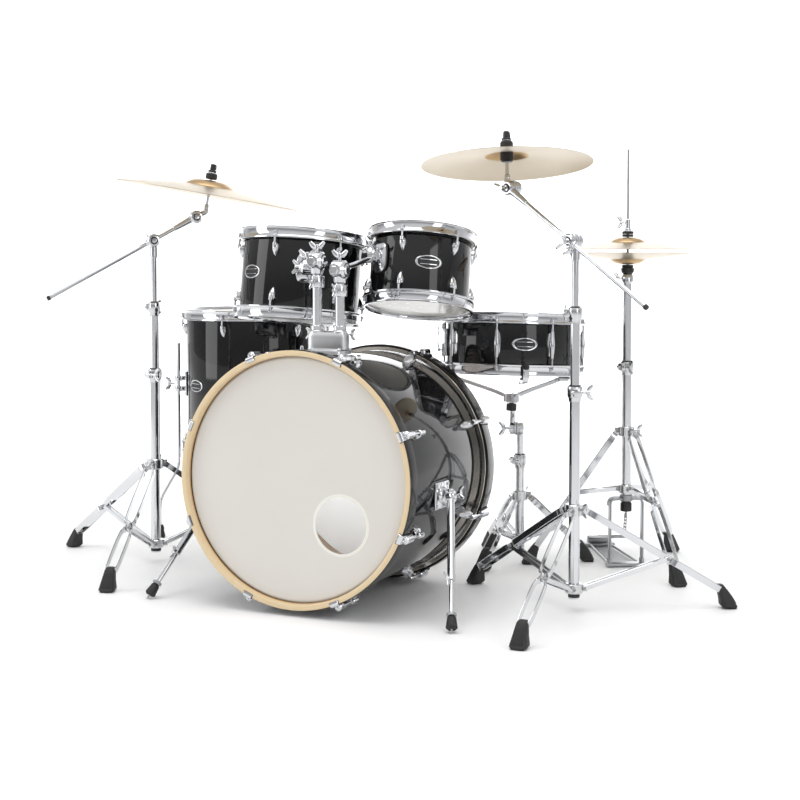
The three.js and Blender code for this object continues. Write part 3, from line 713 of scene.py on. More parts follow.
LARGE_TOM = Drum("large_tom", "large_tom", 12, 8, (-202, 416, 756), (0.021, 0.12, 1), -57, 6, -59)
SMALL_TOM = Drum("small_tom", "small_tom", 10, 7, (97, 490, 772), (-0.03, 0.229, 1), -57, 6)
FLOOR_TOM = Drum("floor_tom", "kit", 16, 16, (-573, 828, 444), (0, 0, 1), -56.5, 6, -61.5)
SNARE = Drum("snare", "snare_drum", 14, 5.5, (228, 797, 578), (0, 0.06, 1), -59.5, 8)
for one in (LARGE_TOM, SMALL_TOM, FLOOR_TOM, SNARE):
    metal_drum(one)

# ---- Bass drum: its +Z points at the audience and its +Y up ----
FRONT_HEIGHT, REAR_HEIGHT, RISE, HOOP_DEPTH = 307.5, 294.3, 20, 40
BASS_RADIUS, BASS_HALF = 11 * INCH - INSET, 9 * INCH
bass_length = 2 * (BASS_HALF + RISE)
BASS = (Matrix.Translation(Vector((0, bass_length / 2, (FRONT_HEIGHT + REAR_HEIGHT) / 2)))
        @ Matrix.Rotation(pi / 2 - (FRONT_HEIGHT - REAR_HEIGHT) / bass_length, 4, "X"))
BASS_REAR = BASS @ OVER
BASS_LUGS = 8
PORT_AT, PORT_RADIUS = Vector((116, -96, 0)), 66


HOOP_OUTER, FRONT = 294.0, BASS_HALF + RISE
BACK = FRONT - HOOP_DEPTH


def over_hoop(points, width, thickness, corner):
    """A strip bent over the wooden hoop, narrowing as it goes."""
    path = [(x, 0, z) for x, z in beside(HOOP_OUTER, FRONT, points)]
    return Shape().sweep(curve(path, 4), lambda t: flat(width - 5 * t, thickness, corner), side=(0, 1, 0))


def claw_hook():
    """A bent claw over the wooden hoop, with its round rod socket behind."""
    shape = over_hoop([(-8.5, 1.6), (-4, 2.6), (0.6, 1.8), (2.8, -2.5), (3.4, -12), (4.4, -24), (4.8, -44)],
                      23, 2.8, 0.8)
    x = HOOP_OUTER + 6.0
    shape.rod((x, 0, BACK - 6), (x, 0, FRONT - 9), 8.6, 26, 2.6, 9.4)
    shape.block((12, 19, 16), shift(HOOP_OUTER + 3.5, 0, FRONT - 18), 3)
    shape.rod((x, 0, FRONT - 10), (x, 0, FRONT - 6.4), 5.4, 20, 1.2)
    shape.block((5.4, 5.4, 5), shift(x, 0, FRONT - 4.6), 0.9)
    return shape.rod((x, 0, BASS_HALF - 66), (x, 0, BACK), 3.1, 14)


def claw_gasket():
    return over_hoop([(-9, 0.4), (-3, 0.7), (0.6, -0.6), (1.0, -14), (1.2, -42)], 25.5, 1.6, 0.5)


def bullet_lug():
    """A rounded oval casting with the rod's socket at its outer end."""
    top = BASS_HALF - 62
    shape = leaf_lug(BASS_RADIUS, top - 50, top, 24, 20)
    return shape.rod((300, 0, top - 22), (300, 0, top + 2), 6.6, 22, 2.0)


def film_with_port():
    """The front head, drawn out of rings that end at the port's edge."""
    shape, edge, count = Shape(), BASS_HALF + 0.4, BASS_SIDES
    rows = []
    for part in (0, 0.04, 0.2, 0.5, 0.8, 0.96, 1):
        row = []
        for i in range(count):
            d = polar(1, 360 * i / count)
            along = PORT_AT.dot(d)
            reach = sqrt(along ** 2 + (BASS_RADIUS - 5) ** 2 - PORT_AT.length_squared) - along
            p = PORT_AT + d * (PORT_RADIUS + 1 + (reach - PORT_RADIUS - 1) * part)
            row.append(Vector((p.x, p.y, edge + 1.5)))
        rows.append(row)
    under = [[p - UP for p in row] for row in reversed(rows)]
    shape.skin(rows + under, caps=False)
    verts = list(shape.mesh.verts)
    first, last = verts[:count], verts[-count:]
    for i in range(count):
        j = (i + 1) % count
        shape.mesh.faces.new([first[j], first[i], last[i], last[j]])
    shape.turned(beside(BASS_RADIUS, edge, [(-5, 0.5), (-5, 1.5), (-2, 0.8), (1, -1.5), (1.4, -22), (0.6, -22),
                                            (0.4, -3)]), count, ring=True)
    bmesh.ops.recalc_face_normals(shape.mesh, faces=shape.mesh.faces)
    return shape


def bass_drum():
    r, h = BASS_RADIUS, BASS_HALF

    def ring(radius, height, *points, count=BASS_SIDES, place=Matrix()):
        return Shape().turned(beside(radius, height, points), count, place, ring=True)
    inner = r - WALL
    settle_each("bass", "kit", "bass_drum_shell", BASS,
                ("wrap", Shape().turned(drum_shell(r, h, 5, 4), BASS_SIDES, ring=True), WRAP),
                ("inner_ply", ring(inner, 0, (0, 4 - h), (WALL - 5.1, 4 - h), (WALL - 5.1, h - 4), (0, h - 4)),
                 BARE_WOOD))
    port = ring(PORT_RADIUS, h, (-2.5, 1.2), (-2.5, 2.3), (3.5, 2.5), (4.5, 1.9), (1, 0.2), (-1.5, 0.2),
                count=96, place=Matrix.Translation(PORT_AT))
    settle_each("bass", "kit", "bass_drum_front_head", BASS,
                ("front_film", film_with_port(), COATED), ("port_ring", port, MILKY))
    settle_each("bass", "kit", "bass_drum_batter_head", BASS_REAR,
                ("batter_film", Shape().turned(drum_film(r, h + 0.4, 22), BASS_SIDES), CLEAR))
    # Each bass hoop gets a body, a face and a thin ring at its inner edge next to the head. On the front hoop that
    # thin ring is painted shade, the darker wood colour standing in for the shadow where hoop meets head. On the
    # rear hoop it is plain black lacquer.
    for name, matrix, head, face, lining in (("front", BASS, "front", MAPLE, HOOP_EDGE_SHADE),
                                             ("rear", BASS_REAR, "batter", LACQUER, LACQUER)):
        node = f"bass_drum_{name}_hoop"
        body = ring(0, FRONT, (284, -40), (285, -41), (292.5, -41), (294, -39.5), (294, -3), (293.4, -1.4),
                    (292, -0.8), (288.4, -0.8), (287, -1.5), (287, -6), (284, -6))
        rim = ring(0, FRONT, (280.3, -16.4), (287.0, -16.4), (290, -4), (293.3, -1.6), (293.2, -0.4),
                   (291.8, 0.5), (283.6, 0.5), (281.6, -0.6), (280.5, -3))
        line = ring(0, FRONT, (278.9, -17.6), (286, -17.6), (286, -16.6), (280.4, -15.4), (279.4, -15.6))
        band = ring(0, BACK, (r + 1.6, -5.5), (287.5, -5.5), (288.4, -4.6), (288.4, -1.6), (r + 1.6, -1.6))
        settle_each(f"bass_{name}", "kit", node, matrix, ("hoop_body", body, LACQUER),
                    ("hoop_face", rim, face), ("hoop_lining", line, lining))
        settle_each(f"bass_{name}", "kit", f"bass_drum_{head}_head", matrix, ("flesh_hoop", band, SILVER_BAND))
        for label, shape, finish, owner in (("claws", claw_hook(), CHROME, node),
                                            ("claw_gaskets", claw_gasket(), RUBBER, node),
                                            ("lugs", bullet_lug(), CHROME, "bass_drum_shell")):
            settle(ringed(f"bass_{name}_{label}", shape, BASS_LUGS, finish, matrix), "kit", owner)


bass_drum()


# ---- Stands ----
LOWER_TUBE, MIDDLE_TUBE = 12.7, 11.1


def leg_strips(shape, top, foot, knee, gap, bow, height=15.0):
    """Two bowed strips side by side, pinched together at both ends and at the knee."""
    side = UP.cross(foot - top).normalized()
    for sign in (-1, 1):
        path = []
        for start, end in ((0, knee), (knee, 1)):
            for part, open_by in ((0.0, 0), (0.05, 0), (0.15, 1), (0.86, 1), (0.95, 0)):
                spread = side * sign * (gap + bow * open_by)
                path.append(top.lerp(foot, start + (end - start) * part) + spread)
        shape.sweep(curve(path + [foot + side * sign * gap], 4), flat(2.8, height, 0.8), side=side)
    return side


def tripod(name, body, node, base, first, reach, leg_top, leg_bottom, knee, inner=LOWER_TUBE, bow=9.0):
    strips, braces, rivets, feet, panels, collars = (Shape() for _ in range(6))
    for angle in round_ring(3, first):
        top, foot = polar(24, angle, leg_top), polar(reach - 14, angle, 40)
        side = leg_strips(strips, top, foot, knee, 4.2, bow)
        at_knee = top.lerp(foot, knee)
        low = polar(22, angle, leg_bottom)
        for sign in (-1, 1):
            off = side * sign * 7.4
            braces.sweep([low + off, at_knee + off], flat(2.4, 11, 0.7), side=side)
        for spot, wide in ((top, 0), (at_knee, 1), (low, 1), (foot - (foot - top).normalized() * 14, 0)):
            rivets.boss(spot, side, 3.1, 17 + 7 * wide, 16, 1.2)
            rivets.boss(spot, side, 4.6, 12.5 + 7.1 * wide, 18, 0.8)
        turn = yaw(angle)
        rows = []
        for z, centre, deep, wide in ((56, -21, 5, 6), (55, -21, 8, 9.5), (49, -18, 10, 12.5),
                                      (26, -7, 15, 16), (9, -1, 18.5, 19.5), (6, 1, 18.5, 19.5), (0.2, 4, 14, 15)):
            rows.append([turn @ Vector((reach + centre + u, v, z))
                         for u, v in blunt_oval(24, deep, wide, first=0)])
        feet.skin(rows)
        for w, lift in ((14, 0.4), (9, 0.9)):
            panel = []
            for z, x in ((45, -5.4), (28, 6.6), (12, 15.9)):
                wide = w * (0.62 + (45 - z) / 130)
                panel.append([turn @ Vector((reach + x + lift + d, wide * s, z * 0.98 + 1))
                              for d, s in ((-2, -1), (0, -1), (0, 1), (-2, 1))])
            panels.skin(panel)
    for z, tall in ((leg_top, 26), (leg_bottom, 22)):
        t = tall / 2
        collars.turned([(inner, -t), (19, -t), (20.5, 2 - t), (20.5, t - 2), (19, t), (inner, t)], 48,
                       shift(0, 0, z), ring=True)
        for angle in round_ring(3, first):
            collars.block((16, 7.6, tall - 6), shift(0, 0, z) @ yaw(angle) @ shift(23), 1.6)
    collars.wing_bolt(polar(18, first + 60, leg_top + 2), polar(1, first + 60), UP, 0.95)
    settle_each(name, body, node, Matrix.Translation(base), ("strips", strips, CHROME),
                ("braces", braces, CHROME), ("rivets", rivets, STEEL), ("feet", feet, RUBBER),
                ("foot_panels", panels, PLASTIC), ("collars", collars, CASTING))


def tube_stage(name, body, node, base, radius, bottom, top, collar, collar_radius, bolt, bolt_side):
    """One length of a telescoping tube, with the lined clamp at its top and a wing bolt."""
    tube, clamp, lining = Shape(), Shape(), Shape()
    tube.turned([(radius - 1.2, bottom), (radius, bottom), (radius, top), (radius - 1.2, top)], 40, ring=True)
    r, high = collar_radius, collar + 12
    clamp.turned([*beside(radius, collar, [(0.1, -24), (2.2, -23), (2.6, -15)]),
                  *beside(r, collar, [(-2.4, -13), (-1, -11), (-1, 9), (-2.2, 11.4), (-4, 12)]),
                  (radius + 0.1, high)], 48, ring=True)
    clamp.block((16, 17, 20), shift(0, 0, collar - 1) @ yaw(bolt) @ shift(r + 2), 3.0)
    seat, across = polar(r + 5, bolt, collar - 1), polar(1, bolt + 90)
    clamp.boss(seat, across, 4.6, 26, 20, 1.4)
    clamp.wing_bolt(seat + across * 12 * bolt_side, across * bolt_side, UP, 1.0)
    lining.turned([(radius - 2.6, high - 4), (r - 5, high - 4), (r - 5, high + 1.6), (r - 6, high + 2.6),
                   (radius - 2.6, high + 2.6)], 40, ring=True)
    settle_each(name, body, node, Matrix.Translation(base), ("tube", tube, CHROME), ("clamp", clamp, CASTING),
                ("lining", lining, PLASTIC))


def ratchet(shape, recess, pivot, side, sign, radius=17.5, start=10.0):
    """Half of a toothed joint: a dished disc with a knurled rim, lying to one side."""
    away = side * sign
    place = onto(pivot + side * (start - 0.4 if sign < 0 else start), away)
    shape.turned([(0, 0), *beside(radius, 0, [
        (-1.6, 0), (0, 1.0), (0, 4.4), (-1.8, 5.6), (-1.8, 7.2), (-0.4, 8.6), (-0.8, 16.6), (-3.4, 19.2),
        (-6.4, 19.4), (-8.4, 17.9), (-11.4, 17.9), (-11.4, 19.6)]), (0, 19.9)], 44, place)
    for turn in round_ring(30):
        shape.block((1.5, 1.7, 4.0), place @ yaw(turn) @ shift(radius - 0.2, 0, 2.6), 0.4)
    recess.turned(beside(radius, 0, [(-11.2, 17.5), (-8.0, 17.5), (-8.4, 18.5), (-11.2, 18.5)]), 24, place,
                  ring=True)


def cymbal_profile(radius, rise, hole, bell_only=False):
    bell, shoulder = radius * 0.26, rise * 0.58
    dome = [(hole, rise), (bell * 0.42, rise * 0.985), (bell * 0.68, rise * 0.90),
            (bell * 0.88, shoulder + (rise - shoulder) * 0.36), (bell, shoulder)]
    bow = [(bell, shoulder), (bell * 1.14, shoulder * 0.935), (radius * 0.45, shoulder * 0.76),
           (radius * 0.66, shoulder * 0.5), (radius * 0.84, shoulder * 0.25), (radius, 0)]
    line = [(p.x, p.y) for p in curve([(r, z, 0) for r, z in (dome if bell_only else bow)], 7)]
    thick = 1.3
    under = [(r, z - thick) for r, z in reversed(line)]
    return line + under


def cymbal(name, body, node, radius, rise, matrix, hole=7.0):
    for label, bell, finish in (("bow", False, BRONZE), ("bell", True, BELL)):
        shape = Shape().turned(cymbal_profile(radius, rise, hole, bell), 160, ring=True)
        settle(shape.turn_into(f"{name}_{label}", finish, matrix, smooth=60), body, node)


def boom_stand(name, base, first, reach, collars, leg_top, leg_bottom, tilter_height, edge, lean, inches,
               rise, rear, bolts):
    base, edge, lean = Vector((*base, 0)), Vector(edge), Vector(lean).normalized()
    low_collar, high_collar = collars
    tilter = Vector((base.x, base.y, tilter_height))
    level = Vector((edge.x - base.x, edge.y - base.y, 0)).normalized()
    pivot = edge - lean * 58 - level * 22
    boom, side = pivot - tilter, UP.cross(level).normalized()
    offset = side * 20
    along = lambda part: tilter + offset + boom * part

    foot, place, upper_tube = f"{name}_tripod", Matrix.Translation(base), f"{name}_upper_tube"
    tripod(name, "kit", foot, base, first, reach, leg_top, leg_bottom, 0.6)
    tube_stage(f"{name}_lower", "kit", foot, base, LOWER_TUBE, 30, low_collar, low_collar, 19, bolts[0], 1)
    plug = Shape().turned([(0, 32), (11, 32), (13.4, 33.5), (13.4, 41), (12.6, 42), (0, 42)], 32)
    settle_each(name, "kit", foot, place, ("tube_cap", plug, RUBBER))
    tube_stage(f"{name}_middle", f"{name}_middle", f"{name}_middle_tube", base, MIDDLE_TUBE, low_collar - 180,
               high_collar, high_collar, 17, bolts[1], -1)
    upper, dark = Shape(), Shape()
    upper.rod((0, 0, high_collar - 145), (0, 0, tilter_height - 20), 8.0, 32)
    upper.rod((0, 0, tilter_height - 44), (0, 0, tilter_height - 16), 10.2, 36, 1.5)
    upper.block((15, 15, 22), shift(0, 0, tilter_height - 10), 4)
    ratchet(upper, dark, Vector((0, 0, tilter_height)), side, -1)
    settle_each(name, f"{name}_upper", upper_tube, place,
                ("upper_tube_and_tilter", upper, CHROME), ("tilter_recess", dark, PLASTIC))

    arm, dark, cap = Shape(), Shape(), Shape()
    way = boom.normalized()
    arm.rod(along(-rear), along(1) - way * 8, 5.5, 28, 1.5)
    for spot in (tilter, pivot):
        ratchet(arm, dark, spot, side, 1)
    arm.rod(along(0) - way * 19, along(0) + way * 19, 9.6, 30, 2)
    arm.rod(along(1) - way * 66, along(1) - way * 14, 6.8, 30, 1.2, 9.2)
    arm.wing_bolt(tilter + side * 29 - way * 2, side, way.cross(side), 1.15)
    arm.wing_bolt(tilter + offset - way * 11 - way.cross(side) * 8, -way.cross(side), side, 0.9)
    arm.wing_bolt(pivot + side * 29, side, way, 1.05)
    cap.rod(along(-rear) - way * 0.5, along(-rear) + way * 9, 6.4, 24, 1.5)
    settle_each(name, f"{name}_boom", f"{name}_boom_arm", Matrix(), ("boom_rod", arm, CHROME),
                ("ratchet_recesses", dark, PLASTIC), ("boom_end_cap", cap, RUBBER))

    up = lambda height: edge + lean * height
    head, soft, nut, dark = (Shape() for _ in range(4))
    ratchet(head, dark, pivot, side, -1)
    elbow = [pivot - side * 6, pivot - side * 4 + lean * 4 + level * 2, pivot.lerp(up(-44), 0.6),
             up(-44), up(-32)]
    head.tube(curve(elbow, 6), 7.2, 20)
    head.rod(up(-44), up(-24), 7.8, 26, 1.5, 6.2)
    head.rod(up(-30), up(rise + 42), 4.3, 20)
    head.rod(up(rise + 19.5), up(rise + 21), 13, 32, 0.5)
    soft.rod(up(rise - 27), up(rise - 5.2), 15.6, 40, 3)
    soft.rod(up(rise + 2.2), up(rise + 19), 15.6, 36, 3)
    nut.rod(up(rise - 31), up(rise - 27.2), 13, 36, 1.5, 15)
    nut.rod(up(rise + 21.4), up(rise + 27), 11.5, 26, 1.5)
    nut.rod(up(rise + 26), up(rise + 43.8), 7.4, 24, 2)
    for i in range(3):
        spin = Quaternion(lean, 2 * pi * i / 3) @ level
        nut.rod(up(rise + 27) + spin * 7.4, up(rise + 41) + spin * 6.4, 3.0, 14, 1.2)
    settle_each(name, f"{name}_tilter", f"{name}_cymbal_tilter", Matrix(), ("seat_recess", dark, PLASTIC),
                ("seat_post", head, CHROME), ("felts", soft, FELT), ("top_nut", nut, PLASTIC))
    cymbal(name, f"{name}_cymbal", f"{name}_cymbal", inches * INCH / 2, rise, onto(edge, lean))


boom_stand("ride", (-612, 364), 44.5, 347, (502, 677), 264, 53, 851, (-504, 460, 970.5),
           (0.158, 0.0735, 1), 20, 40, 2.42, (-100, 160))
boom_stand("crash", (563, 311), -89.5, 362, (505, 684), 234, 54, 846, (366, 390, 1028),
           (-0.08, 0.124, 1), 16, 36, 1.17, (-60, 200))


# ---- Snare stand ----
def snare_stand():
    base, pivot = Vector((243, 812, 0)), Vector((243, 812, 352))
    tripod("snare_stand", "kit", "snare_stand_tripod", base, 18.6, 178, 173, 61, 0.6, bow=7)
    tube_stage("snare_stand_lower", "kit", "snare_stand_tripod", base, LOWER_TUBE, 28, 262, 270, 19, -120, 1)
    side = polar(1, 205)
    upper, dark = Shape(), Shape()
    upper.rod((0, 0, 92), (0, 0, 336), 9.4, 32)
    upper.block((17, 17, 26), shift(0, 0, 342), 4)
    ratchet(upper, dark, Vector((0, 0, 352)), side, -1)
    settle_each("snare_stand_riser", "snare_riser", "snare_stand_upper_tube", Matrix.Translation(base),
                ("tube", upper, CHROME), ("recess", dark, PLASTIC))

    normal = SNARE.place.to_3x3() @ UP
    hub = SNARE.place.translation - normal * (SNARE.half + 74)
    turn = onto(hub, normal)
    reach = SNARE.radius + HOOP_OUT
    basket, dark, tips, collar = Shape(), Shape(), Shape(), Shape()
    ratchet(basket, dark, pivot, side, 1)
    basket.wing_bolt(pivot + side * 29, side, UP, 1.1)
    neck = pivot + side * 20
    basket.tube(curve([neck, neck + UP * 26, neck + UP * 50, hub - UP * 14, hub], 6), 7.2, 20)
    basket.rod(hub - normal * 12, hub + normal * 12, 22, 40, 3)
    collar.rod(hub - normal * 34, hub - normal * 14, 14, 32, 2)
    for angle in round_ring(3, -59.5):
        def run(*points):
            return curve([turn @ polar(r, angle, z) for r, z in points], 5)
        path = run((14, 4), (60, 20), (150, 45), (reach - 30, 49), (reach + 4, 50))
        across = turn.to_3x3() @ polar(1, angle + 90)
        for sign in (-1, 1):
            basket.sweep([p + across * sign * 5.5 for p in path], flat(3, 9, 0.8), side=across)
        basket.boss(turn @ polar(150, angle, 45), across, 3.4, 17, 16, 1)
        outer = beside(reach, 50, [(-14, -0.5), (5, 0.5), (9.5, 6), (10.5, 34)])
        basket.sweep(run(*outer), flat(15, 3.4, 1), side=across)
        grip = beside(reach, 56, [(-20, 0), (1, 0), (4, 4), (4.6, 10), (5, 34)])
        tips.sweep(run(*grip), flat(19, 6.4, 2.2), side=across)
        tips.rod(turn @ polar(reach + 9, angle, 80), turn @ polar(reach + 9, angle, 93), 8.5, 26, 3)
    settle_each("snare_basket", "snare_drum", "snare_stand_basket", Matrix(), ("arms", basket, CHROME),
                ("recess", dark, PLASTIC), ("tips", tips, RUBBER), ("adjuster", collar, PLASTIC))


snare_stand()


# ---- Floor tom legs ----
def floor_tom_legs():
    centre, height = FLOOR_TOM.place.translation * Vector((1, 1, 0)), FLOOR_TOM.place.translation.z
    for i, angle in enumerate(round_ring(3, -146.5)):
        at = lambda r, z: centre + polar(r, angle, z)
        leg, foot = Shape(), Shape()
        leg.tube(curve([at(225, 556), at(225, 400), at(225, 236), at(226, 212), at(234, 190), at(272, 122),
                        at(279, 96), at(281, 70), at(281, 24)], 6), 4.9, 20)
        leg.rod(at(225, 552), at(225, 561), 4.9, 20, 1.5)
        foot.turned([(4, 36), (9, 36), (10.5, 34), (11.5, 20), (14.6, 8), (15, 3), (14, 0.4), (0, 0.4)],
                    40, Matrix.Translation(at(281, 0)))
        for z in (24, 28):
            foot.turned([(10, z - 1), (12.3, z - 1), (12.3, z + 1), (10, z + 1)], 32,
                        Matrix.Translation(at(281, 0)), ring=True)
        node = f"floor_tom_leg_{i + 1}"
        settle_each(node, node, node, Matrix(), ("rod", leg, CHROME), ("rubber", foot, RUBBER))
        clamp, r = Shape(), FLOOR_TOM.radius
        put = Matrix.Translation(centre + UP * height) @ yaw(angle)
        clamp.block((5, 46, 70), put @ shift(r + 1.6), 2.2)
        for z in (-15, 15):
            clamp.block((32, 12, 15), put @ shift(r + 15, 0, z), 3)
            clamp.turned(beside(0, z, [(5.6, -8), (10.5, -8), (11.5, -6), (11.5, 6), (10.5, 8), (5.6, 8)]), 36,
                         put @ shift(225), ring=True)
        clamp.wing_bolt(put @ Vector((236, 0, 0)), put.to_3x3() @ Vector((1, 0, 0)), UP, 1.05)
        clamp.screws(put, r + 3, r + 6.4, 3.6, 1.2, ((0, -29), (0, 29)))
        settle(clamp.turn_into(f"{node}_clamp", CHROME), "kit", "floor_tom_shell")


floor_tom_legs()


# ---- Spurs ----
def spurs():
    for sign, name in ((-1, "left"), (1, "right")):
        bracket = Shape()
        put = BASS @ shift(sign * BASS_RADIUS, -38, 43)
        bracket.block((6, 62, 74), put @ shift(sign * 1.0), 2.4)
        bracket.rod(put @ Vector((0, 0, 0)), put @ Vector((sign * 9.5, 0, 0)), 21, 44, 2, 18.5)
        bracket.screws(put, sign * 3, sign * 7, 4, 1.4, ((-24, -30), (24, -30), (-24, 30), (24, 30)))
        settle(bracket.turn_into(f"spur_bracket_{name}", CHROME), "kit", "bass_drum_shell")
        root = put @ Vector((sign * 24, 0, 0))
        tip = Vector((sign * 392, 0, 1))
        at = lambda part: root.lerp(tip, part)
        way = (tip - root).normalized()
        leg, rubber_tip, ring = Shape(), Shape(), Shape()
        fold = way.cross(Vector((0, -sign, 0))).normalized()
        leg.boss(root, fold, 17, 15, 44, 2.5)
        leg.boss(root - fold * 6, fold, 11, 12, 32, 2)
        leg.wing_bolt(root - fold * 9, -fold, way, 1.0)
        leg.rod(root + way * 6, at(0.62), 8.8, 32, 1.5)
        leg.rod(at(0.55), at(0.885), 5.3, 26, 1)
        leg.rod(at(0.59), at(0.63), 9.6, 34, 1)
        leg.wing_bolt(at(0.60) + Vector((0, -8, 0)), (0, -1, 0), way, 0.9)
        ring.rod(at(0.862), at(0.882), 11.5, 34, 1.5)
        rubber_tip.rod(at(0.88), at(0.97), 10, 34, 4, 13.2)
        ring.rod(at(0.96), at(0.998), 3.4, 20, 1, 1.4)
        settle_each(f"spur_{name}", f"spur_{name}", f"bass_spur_{name}", Matrix(), ("tubes", leg, CHROME),
                    ("ring_and_spike", ring, STEEL), ("rubber_tip", rubber_tip, RUBBER))


spurs()


# ---- Tom holder ----
def tom_holder():
    bracket = Shape()
    y, base, top = 180, 581.8, 638
    plate = ((base + 0.6, 47, 38), (base + 9, 46, 37), (base + 13, 40, 30), (base + 15, 36, 24))
    tower = ((base + 12, 49, 18.5), (base + 40, 49.5, 19.5), (top - 10, 49, 19), (top - 4.5, 46, 16.5),
             (top - 2, 41, 12))
    for rings, middle, count, bend in ((plate, y + 6, 48, 0.45), (tower, y, 64, 0.35)):
        bracket.skin([[Vector((u, middle + v, z)) for u, v in blunt_oval(count, w, d, bend, 0.45)]
                      for z, w, d in rings])
    for x, dy in ((-38, -22), (38, -22), (-38, 34), (38, 34)):
        bracket.rod((x, y + dy, base + 8), (x, y + dy, base + 15), 4.6, 20, 1.6)
    for x in (-30, 30):
        bracket.wing_bolt((x * 1.5, y + 10, top - 9), (x, 0, 0), UP, 0.8)
        bracket.turned([(11.3, 0), (16.5, 0), (17, 1.5), (17, 6), (15.5, 8), (11.3, 8)], 40,
                       shift(x, y, top - 7.5), ring=True)
    settle(bracket.turn_into("tom_bracket_casting", SATIN_SILVER), "kit", "tom_bracket")
    for drum, x, height, holder in ((LARGE_TOM, -30, 800, 0), (SMALL_TOM, 30, 780, -60)):
        tilter, post, name = Vector((x, y, height)), Shape(), drum.name
        post.rod((x, y, top + 1.2), (x, y, height - 14), 11, 40, 1)
        post.turned([(11.2, -14), (16, -14), (17, -12), (17, 11), (15.4, 13.5), (11.2, 13.5)], 44,
                    shift(x, y, height - 48), ring=True)
        post.turned([(11.2, 0), (15.4, 0), (15.6, 9), (14.6, 10), (11.2, 10)], 44,
                    shift(x, y, top + 1.2), ring=True)
        post.rod((x, y, height - 32), (x, y, height - 10), 14.5, 40, 3, 17)
        post.boss(tilter, (1, 0, 0), 22, 38, 48, 5)
        post.boss(tilter, (1, 0, 0), 13, 44, 40, 3)
        post.boss(tilter + Vector((0, -17, 0)), (0, -1, 0), 16.5, 16, 44, 3)
        post.boss(tilter + Vector((0, -25, 0)), (0, -1, 0), 10.5, 12, 6, 1.5)
        post.wing_bolt(tilter + Vector((0, 0, 17)), UP, (1, 0, 0), 1.15)
        post.wing_bolt((x, y - 15.5, height - 48), (0, -1, 0), UP, 0.9)
        settle(post.turn_into(f"{name}_post_and_ball_clamp", CHROME), f"{name}_post", f"{name}_post")
        arm, pad = Shape(), Shape()
        seat = lambda out: drum.place @ polar(out, holder, ARM_HEIGHT)
        away = (seat(drum.radius + 16) - tilter).normalized()
        arm.rod(tilter + away * 26, seat(drum.radius + 16), 6.4, 32, 1.2)
        arm.rod(tilter + away * 24.5, tilter + away * 41, 12.5, 40, 4, 10)
        put = drum.place @ yaw(holder)
        plate = ((2.2, 25, 36), (6, 25, 36), (9, 22, 32), (13, 15, 22))
        for shape, rings in ((arm, plate), (pad, ((0.4, 26.5, 37.5), (2.4, 26.5, 37.5)))):
            shape.skin([[put @ Vector((drum.radius + out, u, ARM_HEIGHT + v))
                         for u, v in blunt_oval(48, w, d, 0.5, 0.6)] for out, w, d in rings])
        arm.rod(put @ Vector((drum.radius + 8, 0, ARM_HEIGHT)), seat(drum.radius + 30), 13, 36, 3, 11)
        across = put.to_3x3() @ Vector((0, 1, 0))
        ball = seat(drum.radius + 33)
        arm.boss(ball, across, 19, 34, 48, 5)
        arm.boss(ball, across, 11, 42, 36, 3)
        arm.wing_bolt(ball + UP * 15, UP, across, 1.15)
        arm.wing_bolt(put @ Vector((drum.radius + 20, -11, ARM_HEIGHT)), -across, UP, 1.0)
        corners = ((-15, -14), (15, -14), (-15, 38), (15, 38))
        arm.screws(put, drum.radius + 5, drum.radius + 9.5, 3.8, 1.3, corners)
        settle_each(f"{name}_arm", name, f"{name}_arm", Matrix(),
                    ("and_plate", arm, CHROME), ("gasket", pad, RUBBER))


tom_holder()


